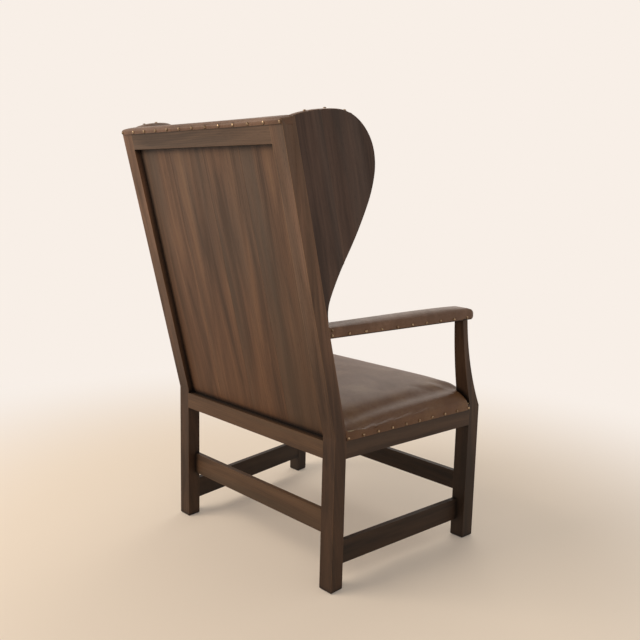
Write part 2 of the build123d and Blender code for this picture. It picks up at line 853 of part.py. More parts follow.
with BuildPart() as rear_leg_left:
    add(rear_leg_solid)
    chamfer(rear_leg_left.faces().sort_by(Axis.Z)[0].edges(), foot_chamfer)
    add(bar_tongue(*rear_rail_tongue, grow=clear), mode=Mode.SUBTRACT)
    add(bar_tongue(*rear_stretcher_tongue, grow=clear), mode=Mode.SUBTRACT)
    add(side_tongue(*side_rail_tongue, grow=clear), mode=Mode.SUBTRACT)
    add(side_tongue(*side_stretcher_tongue, grow=clear), mode=Mode.SUBTRACT)
    add(raked_slab(*top_rail_tongue, margin=rail_tenon), mode=Mode.SUBTRACT)
    add(panel_slab(clear), mode=Mode.SUBTRACT)
    add(arm_tongue(clear), mode=Mode.SUBTRACT)
    add(wing_keys(clear), mode=Mode.SUBTRACT)
    add(shanks(crest_places), mode=Mode.SUBTRACT)
rear_leg_left.part.label = "rear_leg_left"
export_step(rear_leg_left.part, "parts/rear_leg_left.step")

with BuildPart() as rear_leg_right:
    mirror(rear_leg_left.part, about=Plane.YZ)
rear_leg_right.part.label = "rear_leg_right"
export_step(rear_leg_right.part, "parts/rear_leg_right.step")

with BuildPart() as front_leg_left:
    add(front_leg_solid)
    chamfer(front_leg_left.faces().sort_by(Axis.Z)[0].edges(), foot_chamfer)
    add(post_tongue())
    add(bar_tongue(*front_rail_tongue, grow=clear), mode=Mode.SUBTRACT)
    add(bar_tongue(*front_stretcher_tongue, grow=clear), mode=Mode.SUBTRACT)
    add(side_tongue(*side_rail_tongue, grow=clear), mode=Mode.SUBTRACT)
    add(side_tongue(*side_stretcher_tongue, grow=clear), mode=Mode.SUBTRACT)
    add(corner_screws, mode=Mode.SUBTRACT)
front_leg_left.part.label = "front_leg_left"
export_step(front_leg_left.part, "parts/front_leg_left.step")

with BuildPart() as front_leg_right:
    mirror(front_leg_left.part, about=Plane.YZ)
front_leg_right.part.label = "front_leg_right"
export_step(front_leg_right.part, "parts/front_leg_right.step")

with BuildPart() as side_seat_rail_left:
    add(side_bar(0, seat_rail_bottom, seat_rail_thickness, seat_rail_height))
    add(leg_solids[0], mode=Mode.SUBTRACT)
    add(leg_solids[2], mode=Mode.SUBTRACT)
    add(side_tongue(*side_rail_tongue))
    add(shanks(side_places), mode=Mode.SUBTRACT)
    add(corner_screws, mode=Mode.SUBTRACT)
side_seat_rail_left.part.label = "side_seat_rail_left"
export_step(side_seat_rail_left.part, "parts/side_seat_rail_left.step")

with BuildPart() as side_seat_rail_right:
    mirror(side_seat_rail_left.part, about=Plane.YZ)
side_seat_rail_right.part.label = "side_seat_rail_right"
export_step(side_seat_rail_right.part, "parts/side_seat_rail_right.step")

with BuildPart() as front_seat_rail:
    add(
        cross_bar(
            front_y + seat_rail_thickness, seat_rail_bottom, seat_rail_thickness, seat_rail_height, front_middle
        )
    )
    for leg in leg_solids[2:]:
        add(leg, mode=Mode.SUBTRACT)
    add(bar_tongue(*front_rail_tongue))
    add(shanks(front_places), mode=Mode.SUBTRACT)
front_seat_rail.part.label = "front_seat_rail"
export_step(front_seat_rail.part, "parts/front_seat_rail.step")

# Its front half stands up behind the panel's foot and carries the webbing.
with BuildPart() as rear_seat_rail:
    with BuildSketch(Plane.YZ):
        with BuildLine():
            Polyline(
                (rear_y, seat_rail_bottom), (rear_y, shelf_height), (rear_y - shelf_depth, shelf_height),
                (rear_y - shelf_depth, seat_rail_top), (rear_y - rear_rail_thickness, seat_rail_top),
                (rear_y - rear_rail_thickness, seat_rail_bottom), close=True,
            )
        make_face()
    extrude(amount=rear_middle, both=True)
    for leg in leg_solids[:2]:
        add(leg, mode=Mode.SUBTRACT)
    add(side_bar(0, seat_rail_bottom, seat_rail_thickness, seat_rail_height), mode=Mode.SUBTRACT)
    mirror(
        side_bar(0, seat_rail_bottom, seat_rail_thickness, seat_rail_height), about=Plane.YZ, mode=Mode.SUBTRACT
    )
    add(bar_tongue(*rear_rail_tongue))
    add(corner_screws, mode=Mode.SUBTRACT)
    mirror(corner_screws, about=Plane.YZ, mode=Mode.SUBTRACT)
rear_seat_rail.part.label = "rear_seat_rail"
export_step(rear_seat_rail.part, "parts/rear_seat_rail.step")

with BuildPart() as back_top_rail:
    add(crest_block(0, top_rail_bottom))
    add(
        raked_slab(-cut_overrun, rear_leg_depth + cut_overrun, top_rail_bottom, seat_rail_top + stile_top, 0),
        mode=Mode.INTERSECT
    )
    add(raked_slab(*top_rail_tongue, margin=rail_tenon))
    add(panel_slab(clear), mode=Mode.SUBTRACT)
    add(shanks(crest_places), mode=Mode.SUBTRACT)
back_top_rail.part.label = "back_top_rail"
export_step(back_top_rail.part, "parts/back_top_rail.step")

# Boards glued edge to edge, each with a hair of a joint line
with BuildPart() as back_panel:
    add(panel_slab())
    for i in range(1, panel_boards):
        place = rear_inner * (2 * i / panel_boards - 1)
        with BuildSketch(Plane.XZ.offset(-rear_face(stile_top))):
            with Locations((place, stile_top / 2)):
                Rectangle(board_gap, 2 * stile_top)
        extrude(amount=frame_depth, mode=Mode.SUBTRACT)
back_panel.part.label = "back_panel"
export_step(back_panel.part, "parts/back_panel.step")

with BuildPart() as rear_stretcher:
    add(
        cross_bar(
            rear_stretcher_y, rear_stretcher_bottom, stretcher_thickness, rear_stretcher_height, rear_middle
        )
    )
    for leg in leg_solids[:2]:
        add(leg, mode=Mode.SUBTRACT)
    add(bar_tongue(*rear_stretcher_tongue))
rear_stretcher.part.label = "rear_stretcher"
export_step(rear_stretcher.part, "parts/rear_stretcher.step")

with BuildPart() as front_stretcher:
    add(
        cross_bar(
            front_stretcher_y, front_stretcher_bottom, stretcher_thickness, front_stretcher_height, front_middle
        )
    )
    for leg in leg_solids[2:]:
        add(leg, mode=Mode.SUBTRACT)
    add(bar_tongue(*front_stretcher_tongue))
front_stretcher.part.label = "front_stretcher"
export_step(front_stretcher.part, "parts/front_stretcher.step")

with BuildPart() as side_stretcher_left:
    add(side_bar(stretcher_inset, side_stretcher_bottom, stretcher_thickness, side_stretcher_height))
    add(leg_solids[0], mode=Mode.SUBTRACT)
    add(leg_solids[2], mode=Mode.SUBTRACT)
    add(side_tongue(*side_stretcher_tongue))
side_stretcher_left.part.label = "side_stretcher_left"
export_step(side_stretcher_left.part, "parts/side_stretcher_left.step")

with BuildPart() as side_stretcher_right:
    mirror(side_stretcher_left.part, about=Plane.YZ)
side_stretcher_right.part.label = "side_stretcher_right"
export_step(side_stretcher_right.part, "parts/side_stretcher_right.step")

with BuildPart() as wing_rear_board_left:
    add(wing_form(0, 0, wing_board))
    add(wing_strip(wing_joint, 2 * wing_reach, 0, wing_board), mode=Mode.SUBTRACT)
    add(wing_groove(clear), mode=Mode.SUBTRACT)
    add(wing_keys(clear), mode=Mode.SUBTRACT)
    add(shanks(wing_places), mode=Mode.SUBTRACT)
wing_rear_board_left.part.label = "wing_rear_board_left"
export_step(wing_rear_board_left.part, "parts/wing_rear_board_left.step")

with BuildPart() as wing_rear_board_right:
    mirror(wing_rear_board_left.part, about=Plane.YZ)
wing_rear_board_right.part.label = "wing_rear_board_right"
export_step(wing_rear_board_right.part, "parts/wing_rear_board_right.step")

with BuildPart() as wing_front_board_left:
    add(wing_strip(wing_joint, 2 * wing_reach, 0, wing_board))
    add(wing_groove(0))
    add(wing_form(0, 0, wing_board), mode=Mode.INTERSECT)
    add(shanks(wing_places), mode=Mode.SUBTRACT)
wing_front_board_left.part.label = "wing_front_board_left"
export_step(wing_front_board_left.part, "parts/wing_front_board_left.step")

with BuildPart() as wing_front_board_right:
    mirror(wing_front_board_left.part, about=Plane.YZ)
wing_front_board_right.part.label = "wing_front_board_right"
export_step(wing_front_board_right.part, "parts/wing_front_board_right.step")

with BuildPart() as wing_keys_left:
    add(wing_keys())
wing_keys_left.part.label = "wing_keys_left"
export_step(wing_keys_left.part, "parts/wing_keys_left.step")

with BuildPart() as wing_keys_right:
    mirror(wing_keys_left.part, about=Plane.YZ)
wing_keys_right.part.label = "wing_keys_right"
export_step(wing_keys_right.part, "parts/wing_keys_right.step")

with BuildPart() as arm_rail_left:
    add(arm_core.part)
    add(arm_tongue())
    add(post_tongue(clear), mode=Mode.SUBTRACT)
    add(shanks(arm_places), mode=Mode.SUBTRACT)
arm_rail_left.part.label = "arm_rail_left"
export_step(arm_rail_left.part, "parts/arm_rail_left.step")

with BuildPart() as arm_rail_right:
    mirror(arm_rail_left.part, about=Plane.YZ)
arm_rail_right.part.label = "arm_rail_right"
export_step(arm_rail_right.part, "parts/arm_rail_right.step")

with BuildPart() as corner_blocks:
    for x, y, turn in block_corners:
        with BuildSketch(Plane.XY.offset(seat_rail_top - block_drop - block_height)):
            with BuildLine():
                reach = seat_rail_thickness / 2
                Polyline(
                    (x - block_leg, y), (x + reach, y), (x + reach, y - turn * (block_leg + reach)), close=True
                )
            make_face()
        extrude(amount=block_height)
    add(side_bar(0, seat_rail_bottom, seat_rail_thickness, seat_rail_height), mode=Mode.SUBTRACT)
    add(front_leg_solid, mode=Mode.SUBTRACT)
    add(corner_screws, mode=Mode.SUBTRACT)
    mirror(about=Plane.YZ)
corner_blocks.part.label = "corner_blocks"
export_step(corner_blocks.part, "parts/corner_blocks.step")

with BuildPart() as corner_block_screws:
    add(corner_screws)
    mirror(about=Plane.YZ)
corner_block_screws.part.label = "corner_block_screws"
export_step(corner_block_screws.part, "parts/corner_block_screws.step")

# Upholstery of the seat, from the webbing up
with BuildPart() as seat_webbing:
    rear_end = rear_y - rear_leg_depth - leather - webbing_margin
    front_end = front_y + webbing_margin
    with BuildSketch(Plane.XY.offset(seat_rail_top)):
        with Locations(*[
            (x, (rear_end + front_end) / 2)
            for x in along(round(2 * webbing_spread / webbing_pitch) + 1, -webbing_spread, webbing_spread)
        ]):
            Rectangle(webbing_width, rear_end - front_end)
    extrude(amount=webbing_thickness)
    with BuildSketch(Plane.XY.offset(seat_rail_top + webbing_thickness)):
        rear_strip, front_strip = rear_end - webbing_width, front_end + 1.5 * webbing_width
        with Locations(*[
            (0, y)
            for y in along(round((rear_strip - front_strip) / webbing_pitch) + 1, rear_strip, front_strip)
        ]):
            Rectangle(2 * front_half_width, webbing_width)
    extrude(amount=webbing_thickness)
    for plane in (across_plane, across_mirror):
        with BuildSketch(plane):
            with Locations((webbing_margin, seat_rail_top)):
                Rectangle(2 * front_half_width, seat_rail_height, align=(Align.MIN, Align.CENTER))
        extrude(amount=2 * frame_depth, both=True, mode=Mode.INTERSECT)
seat_webbing.part.label = "seat_webbing"
export_step(seat_webbing.part, "parts/seat_webbing.step")

seat_inner = seat_form(leather)
hessian_bottom = seat_rail_top + 2 * webbing_thickness
with BuildPart() as seat_hessian:
    add(seat_inner)
    split(bisect_by=Plane.XY.offset(hessian_bottom), keep=Keep.TOP)
    split(bisect_by=Plane.XY.offset(hessian_bottom + hessian_thickness), keep=Keep.BOTTOM)
seat_hessian.part.label = "seat_hessian"
export_step(seat_hessian.part, "parts/seat_hessian.step")

with BuildPart() as seat_stuffing:
    add(seat_inner)
    split(bisect_by=Plane.XY.offset(hessian_bottom + hessian_thickness), keep=Keep.TOP)
seat_stuffing.part.label = "seat_stuffing"
export_step(seat_stuffing.part, "parts/seat_stuffing.step")

with BuildPart() as seat_leather:
    add(seat_form(0))
    add(seat_inner, mode=Mode.SUBTRACT)
    for rail in (rear_seat_rail, front_seat_rail, side_seat_rail_left, side_seat_rail_right):
        add(rail.part, mode=Mode.SUBTRACT)
    with BuildSketch(Plane.XY.offset(seat_rail_bottom)):
        with BuildLine():
            Polyline(*[
                (x, y)
                for x, y, turn in block_corners + [(-x, y, turn) for x, y, turn in block_corners[::-1]]
            ], close=True)
        make_face()
    extrude(amount=seat_rail_height, mode=Mode.SUBTRACT)
    add(shanks(front_places), mode=Mode.SUBTRACT)
    add(shanks(side_places), mode=Mode.SUBTRACT)
    mirror(shanks(side_places), about=Plane.YZ, mode=Mode.SUBTRACT)
seat_leather.part.label = "seat_leather"
export_step(seat_leather.part, "parts/seat_leather.step")

# Arms
arm_inner = arm_form(leather)
with BuildPart() as arm_padding_left:
    add(arm_inner)
    add(arm_core.part, mode=Mode.SUBTRACT)
    add(shanks(arm_places), mode=Mode.SUBTRACT)
arm_padding_left.part.label = "arm_padding_left"
export_step(arm_padding_left.part, "parts/arm_padding_left.step")

with BuildPart() as arm_padding_right:
    mirror(arm_padding_left.part, about=Plane.YZ)
arm_padding_right.part.label = "arm_padding_right"
export_step(arm_padding_right.part, "parts/arm_padding_right.step")

with BuildPart() as arm_leather_left:
    add(arm_form(0))
    add(arm_inner, mode=Mode.SUBTRACT)
    add(arm_core.part, mode=Mode.SUBTRACT)
    add(shanks(arm_places), mode=Mode.SUBTRACT)
arm_leather_left.part.label = "arm_leather_left"
export_step(arm_leather_left.part, "parts/arm_leather_left.step")

with BuildPart() as arm_leather_right:
    mirror(arm_leather_left.part, about=Plane.YZ)
arm_leather_right.part.label = "arm_leather_right"
export_step(arm_leather_right.part, "parts/arm_leather_right.step")

# Wings
with BuildPart() as wing_padding_left:
    add(wing_form(0, wing_board, wing_board + wing_pad))
wing_padding_left.part.label = "wing_padding_left"
export_step(wing_padding_left.part, "parts/wing_padding_left.step")

with BuildPart() as wing_padding_right:
    mirror(wing_padding_left.part, about=Plane.YZ)
wing_padding_right.part.label = "wing_padding_right"
export_step(wing_padding_right.part, "parts/wing_padding_right.step")

with BuildPart() as wing_nails_left:
    with Locations(*[place.location for place in wing_places]):
        add(nail.part)
wing_nails_left.part.label = "wing_nails_left"
export_step(wing_nails_left.part, "parts/wing_nails_left.step")

with BuildPart() as wing_nails_right:
    mirror(wing_nails_left.part, about=Plane.YZ)
wing_nails_right.part.label = "wing_nails_right"
export_step(wing_nails_right.part, "parts/wing_nails_right.step")

with BuildPart() as wing_leather_left:
    add(wing_form(leather, 0, wing_board + wing_pad + leather))
    add(wing_form(0, -cut_overrun, wing_board + wing_pad), mode=Mode.SUBTRACT)
    add(wing_nails_left.part, mode=Mode.SUBTRACT)
wing_leather_left.part.label = "wing_leather_left"
export_step(wing_leather_left.part, "parts/wing_leather_left.step")

with BuildPart() as wing_leather_right:
    mirror(wing_leather_left.part, about=Plane.YZ)
wing_leather_right.part.label = "wing_leather_right"
export_step(wing_leather_right.part, "parts/wing_leather_right.step")

# Back
seat_room = seat_form(-upholstery_gap)
back_inner = back_form(leather)
with BuildPart() as arm_room:
    add(arm_form(0))
    add(brick(arm_plane, 0, arm_middle, arm_rail_height, frame_depth / 2, arm_width))
    split(bisect_by=stile_front, keep=Keep.TOP)
    mirror(about=Plane.YZ)
with BuildPart() as back_padding:
    add(raked_slab(panel_front, rear_leg_depth, seat_rail_top, top_rail_bottom, 0))
    add(back_inner)
    add(seat_room, mode=Mode.SUBTRACT)
    add(arm_room.part, mode=Mode.SUBTRACT)
back_padding.part.label = "back_padding"
export_step(back_padding.part, "parts/back_padding.step")

with BuildPart() as back_leather:
    add(back_form(0))
    add(back_inner, mode=Mode.SUBTRACT)
    add(seat_room, mode=Mode.SUBTRACT)
    add(arm_room.part, mode=Mode.SUBTRACT)
back_leather.part.label = "back_leather"
export_step(back_leather.part, "parts/back_leather.step")

# The strap over the top rail and the stiles, nailed at the rear
with BuildPart() as crest_leather:
    add(crest_block(leather, crest_skirt))
    for leg in leg_solids[:2]:
        add(leg, mode=Mode.SUBTRACT)
    add(crest_block(0, top_rail_bottom), mode=Mode.SUBTRACT)
    add(shanks(crest_places), mode=Mode.SUBTRACT)
crest_leather.part.label = "crest_leather"
export_step(crest_leather.part, "parts/crest_leather.step")

# Nails
with BuildPart() as crest_nails:
    with Locations(*[place.location for place in crest_places]):
        add(nail.part)
crest_nails.part.label = "crest_nails"
export_step(crest_nails.part, "parts/crest_nails.step")

with BuildPart() as seat_nails:
    with Locations(*[place.location for place in side_places]):
        add(nail.part)
    mirror(about=Plane.YZ)
    with Locations(*[place.location for place in front_places]):
        add(nail.part)
seat_nails.part.label = "seat_nails"
export_step(seat_nails.part, "parts/seat_nails.step")

with BuildPart() as arm_nails_left:
    with Locations(*[place.location for place in arm_places]):
        add(nail.part)
arm_nails_left.part.label = "arm_nails_left"
export_step(arm_nails_left.part, "parts/arm_nails_left.step")

with BuildPart() as arm_nails_right:
    mirror(arm_nails_left.part, about=Plane.YZ)
arm_nails_right.part.label = "arm_nails_right"
export_step(arm_nails_right.part, "parts/arm_nails_right.step")
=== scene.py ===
import logging
import random
from collections.abc import Callable, Iterable
from dataclasses import dataclass, field
from enum import Enum
from functools import partial
from math import atan, cos, degrees, exp, pi, radians, sin, tan, tau

import bpy
from mathutils import Matrix, Vector


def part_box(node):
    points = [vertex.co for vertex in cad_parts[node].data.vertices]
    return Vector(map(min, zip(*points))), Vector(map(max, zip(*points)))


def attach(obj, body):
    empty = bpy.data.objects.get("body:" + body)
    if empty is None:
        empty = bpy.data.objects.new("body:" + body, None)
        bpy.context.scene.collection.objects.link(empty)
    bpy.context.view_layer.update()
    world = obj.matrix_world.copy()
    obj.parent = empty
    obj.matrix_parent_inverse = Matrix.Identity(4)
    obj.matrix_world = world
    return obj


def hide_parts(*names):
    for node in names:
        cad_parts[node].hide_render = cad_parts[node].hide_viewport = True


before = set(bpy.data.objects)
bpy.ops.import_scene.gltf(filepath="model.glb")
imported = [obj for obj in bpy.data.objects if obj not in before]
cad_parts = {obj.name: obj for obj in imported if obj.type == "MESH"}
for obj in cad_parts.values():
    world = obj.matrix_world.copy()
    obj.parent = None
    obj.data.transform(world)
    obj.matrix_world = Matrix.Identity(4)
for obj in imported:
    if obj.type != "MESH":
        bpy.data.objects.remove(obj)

log = logging.getLogger("wing_chair")

MM = 0.001
UP = Vector((0.0, 0.0, 1.0))
MERGE = 0.02 * MM  # points closer than this are one
TOUCH = 0.2 * MM  # surfaces closer than this touch
COVER = {"data_type": "RGBA"}
DARKEN = {"data_type": "RGBA", "blend_type": "MULTIPLY"}

Piece = bpy.types.Object
Material = bpy.types.Material
Tree = bpy.types.NodeTree
Socket = bpy.types.NodeSocket
Inputs = dict | tuple
Span = tuple[float, float]
Triple = tuple[float, float, float]
Adder = Callable[..., Socket]
Rule = Callable[[Vector, Vector], bool]


# ---- small tools


def paint(code: str) -> tuple[float, float, float, float]:
    """Turns an sRGB hex colour into the linear colour that a shader takes.

    Args:
        code: six hex digits, such as "6b5341".

    Returns:
        Linear red, green, blue and an alpha of 1.
    """
    channels = []
    for start in (0, 2, 4):
        value = int(code[start:start + 2], 16) / 255
        channels.append(value / 12.92 if value <= 0.04045 else ((value + 0.055) / 1.055) ** 2.4)
    return (*channels, 1.0)


def fill_inputs(tree: Tree, node: bpy.types.Node, inputs: Inputs) -> None:
    """Gives a node its values and links.

    Args:
        tree: the node's tree.
        node: the node.
        inputs: numbers, hex colours or output sockets, by the input's name or number, or in order.
    """
    for key, value in inputs.items() if isinstance(inputs, dict) else enumerate(inputs):
        if isinstance(value, Socket):
            tree.links.new(value, node.inputs[key])
        else:
            node.inputs[key].default_value = paint(value) if isinstance(value, str) else value


def add_node(
    tree: Tree, kind: str, inputs: Inputs = (), output: int | str = 0, **settings: object
) -> Socket:
    """Adds one node with its settings, its values and its links.

    Args:
        tree: the node tree that gets the node.
        kind: the end of the node's type name, after ShaderNode.
        inputs: what fill_inputs takes.
        output: the name or number of the output that is wanted.
        settings: properties by name; stops gives a colour ramp's (place, hex colour) pairs.

    Returns:
        The output socket.
    """
    node = tree.nodes.new("ShaderNode" + kind)
    stops = settings.pop("stops", ())
    for key, value in settings.items():
        setattr(node, key, value)
    if stops:
        ramp = node.color_ramp.elements
        while len(ramp) < len(stops):
            ramp.new(1.0)
        for stop, (place, colour) in zip(ramp, stops):
            stop.position, stop.color = place, paint(colour)
    fill_inputs(tree, node, inputs)
    return node.outputs[output]


def new_material(name: str) -> tuple[Material, Adder]:
    """Makes an empty material.

    Args:
        name: the material's name.

    Returns:
        The material, and add_node for its node tree.
    """
    material = bpy.data.materials.new(name)
    material.use_nodes = True
    return material, partial(add_node, material.node_tree)


def set_surface(material: Material, inputs: dict) -> Material:
    """Gives a material's main shader its values and links, and returns the material."""
    fill_inputs(material.node_tree, material.node_tree.nodes["Principled BSDF"], inputs)
    return material


def add_object(name: str, data: bpy.types.ID) -> Piece:
    """Makes an object of a mesh, lamp or camera, and puts it in the scene."""
    made = bpy.data.objects.new(name, data)
    bpy.context.scene.collection.objects.link(made)
    return made


def pick(*pieces: Piece) -> None:
    """Selects these objects alone, and makes the first one active."""
    bpy.ops.object.select_all(action="DESELECT")
    for piece in pieces:
        piece.select_set(True)
    bpy.context.view_layer.objects.active = pieces[0]


def join(*pieces: Piece) -> Piece:
    """Joins pieces into the first one, and returns it."""
    pick(*pieces)
    if len(pieces) > 1:
        bpy.ops.object.join()
    return bpy.context.view_layer.objects.active


def edit_all(piece: Piece, operator: Callable, **settings: object) -> None:
    """Runs an operator of edit mode on the whole of a piece.

    Args:
        piece: the mesh object.
        operator: the operator.
        settings: the operator's settings.
    """
    pick(piece)
    bpy.ops.object.mode_set(mode="EDIT")
    bpy.ops.mesh.select_all(action="SELECT")
    operator(**settings)
    bpy.ops.object.mode_set(mode="OBJECT")


def select(piece: Piece, faces: bool, rule: Rule) -> int:
    """Leaves a piece in edit mode with the faces or edges selected that meet a rule.

    Args:
        piece: the mesh object.
        faces: selects faces, and otherwise edges.
        rule: says yes or no to a face's centre and normal, or to an edge's two end points.

    Returns:
        How many are selected.
    """
    pick(piece)
    bpy.context.tool_settings.mesh_select_mode = (False, not faces, faces)
    mesh = piece.data
    for group in (mesh.vertices, mesh.edges, mesh.polygons):
        group.foreach_set("select", [False] * len(group))
    if faces:
        chosen = [rule(face.center, face.normal) for face in mesh.polygons]
        mesh.polygons.foreach_set("select", chosen)
    else:
        chosen = [rule(*(mesh.vertices[end].co for end in edge.vertices)) for edge in mesh.edges]
        mesh.edges.foreach_set("select", chosen)
    bpy.ops.object.mode_set(mode="EDIT")
    return sum(chosen)


def delete_faces(piece: Piece, rule: Rule) -> None:
    """Deletes the faces of a piece that meet a rule."""
    if select(piece, True, rule):
        bpy.ops.mesh.delete(type="FACE")
    bpy.ops.object.mode_set(mode="OBJECT")


def cut(piece: Piece, point: Vector, keep: Vector, fill: bool = False) -> None:
    """Cuts a piece with a plane and keeps one side.

    Args:
        piece: the mesh object.
        point: a point of the plane.
        keep: the plane's normal, towards the side that stays.
        fill: closes the cut with a face.
    """
    plane = {"plane_co": point, "plane_no": keep}
    edit_all(piece, bpy.ops.mesh.bisect, **plane, clear_inner=True, use_fill=fill)


def loose_parts(piece: Piece) -> list[Piece]:
    """Splits a piece into its loose parts, and returns them."""
    edit_all(piece, bpy.ops.mesh.separate, type="LOOSE")
    return list(bpy.context.selected_objects)


def keep_largest(piece: Piece) -> Piece:
    """Drops the loose scraps that a cut leaves.

    Args:
        piece: the mesh object.

    Returns:
        The largest loose part, under the piece's name.
    """
    name = piece.name
    parts = sorted(loose_parts(piece), key=lambda part: len(part.data.polygons))
    for scrap in parts[:-1]:
        bpy.data.objects.remove(scrap)
    parts[-1].name = name
    return parts[-1]


def copy_of(name: str, *nodes: str) -> Piece:
    """Joins copies of CAD nodes into one merged new piece.

    Args:
        name: the new piece's name.
        nodes: the names of the nodes.

    Returns:
        The new object, at the origin.
    """
    piece = join(*[add_object(name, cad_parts[node].data.copy()) for node in nodes])
    edit_all(piece, bpy.ops.mesh.remove_doubles, threshold=MERGE)
    piece.data.materials.clear()
    return piece


def finish_with(piece: Piece, kind: str, **settings: object) -> None:
    """Adds a modifier with its settings and applies it."""
    pick(piece)
    modifier = piece.modifiers.new(kind.lower(), kind)
    for key, value in settings.items():
        setattr(modifier, key, value)
    bpy.ops.object.modifier_apply(modifier=modifier.name)


def smooth(piece: Piece, angle: float | None = None) -> None:
    """Shades a piece smooth, all over or up to an angle in degrees."""
    pick(piece)
    if angle is None:
        bpy.ops.object.shade_smooth()
    else:
        bpy.ops.object.shade_smooth_by_angle(angle=radians(angle))


def ramp(value: float, start: float, over: float) -> float:
    """Is 0 up to a start, rises evenly and is 1 beyond it."""
    return min(1.0, max(0.0, (value - start) / over))


def bell(distance: float, width: float) -> float:
    """Is 1 at no distance and fades smoothly over a width."""
    return exp(-((distance / width) ** 2))


def hand_over(
    piece: Piece, material: Material, nodes: list[str]
) -> None:
    """Dresses a finished piece and tells the frame what it is.

    Args:
        piece: the finished object.
        material: its finish.
        nodes: the CAD nodes that the piece stands for.
    """
    piece.data.materials.clear()
    piece.data.materials.append(material)
    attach(piece, "root")
    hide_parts(*nodes)
    log.info("%s: %d faces, stands for %s", piece.name, len(piece.data.polygons), ", ".join(nodes))


# ---- the chair's own planes


class Side(Enum):
    """The sitter's left and right, as the sign of X."""

    LEFT = 1
    RIGHT = -1

    @property
    def word(self) -> str:
        """The ending of the node names on this side."""
        return self.name.lower()

    def mirrored(self, point: Vector) -> Vector:
        """A point or direction given for the left, on this side."""
        return Vector((point.x * self.value, point.y, point.z))


@dataclass(frozen=True)
class Planes:
    """The chair's slanted planes, in metres and degrees."""

    rake: float = 14.1
    kink: float = 0.384
    leg_depth: float = 0.038
    rear_half_width: float = 0.310
    splay: float = degrees(atan(48 / 481))
    flare: float = 16.0
    lean: float = 5 / 705
    board: float = 0.020
    wing_foot: float = 0.661
    rear_y: float = field(default_factory=lambda: float(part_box("rear_seat_rail")[1][1]))
    front_y: float = field(default_factory=lambda: float(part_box("front_seat_rail")[0][1]))

    @property
    def back_front(self) -> Vector:
        """Square to the back, towards the sitter."""
        return Vector((0.0, -cos(radians(self.rake)), sin(radians(self.rake))))

    def stile_front(self, ahead: float = 0.0) -> Vector:
        """A point so many millimetres in front of the stiles' front faces."""
        return Vector((0.0, self.rear_y - self.leg_depth, self.kink)) + self.back_front * ahead * MM

    def before_stiles(self, point: Vector) -> float:
        """How far a point lies in front of the stiles' front faces."""
        return (point - self.stile_front()).dot(self.back_front)

    def side_outward(self, side: Side) -> Vector:
        """Out of one side of the seat."""
        turn = radians(self.splay)
        return side.mirrored(Vector((cos(turn), sin(turn), 0.0)))

    def outside(self, point: Vector, side: Side) -> float:
        """How far a point lies outside the side rails' outer face."""
        corner = side.mirrored(Vector((self.rear_half_width, self.rear_y - self.leg_depth, 0.0)))
        return (point - corner).dot(self.side_outward(side))

    def wing_outward(self, side: Side) -> Vector:
        """Out of a wing's wooden face."""
        turn = radians(self.flare)
        forward = Vector((sin(turn), -cos(turn), 0.0))
        edge = Vector((-self.lean, tan(radians(self.rake)), 1.0))
        return side.mirrored(-forward.cross(edge).normalized())

    def wing_corner(self, side: Side) -> Vector:
        """The foot of a wing's wooden face, at the stile."""
        rise = self.wing_foot - self.kink
        y = self.rear_y - self.leg_depth + rise * tan(radians(self.rake))
        return side.mirrored(Vector((self.rear_half_width - self.lean * rise, y, self.wing_foot)))

    def wing_depth(self, point: Vector, side: Side) -> float:
        """How far a point lies inside a wing's wooden face."""
        return (self.wing_corner(side) - point).dot(self.wing_outward(side))


# ---- finishes


class Grain(Enum):
    """The way a left board's grain runs, as a direction."""

    BENT_LEG = (0.0, 0.16, 1.0)
    RAKED = (0.0, 0.2512, 1.0)
    SWEPT_POST = (0.0, 0.06, 1.0)
    ACROSS = (1.0, 0.0, 0.0)
    ALONG_SIDE = (0.0998, -1.0, 0.0)

    def turn(self, side: Side) -> Triple:
        """The angles that turn this direction, on one side of the chair, to Z."""
        return tuple(side.mirrored(Vector(self.value)).rotation_difference(UP).to_euler("XYZ"))


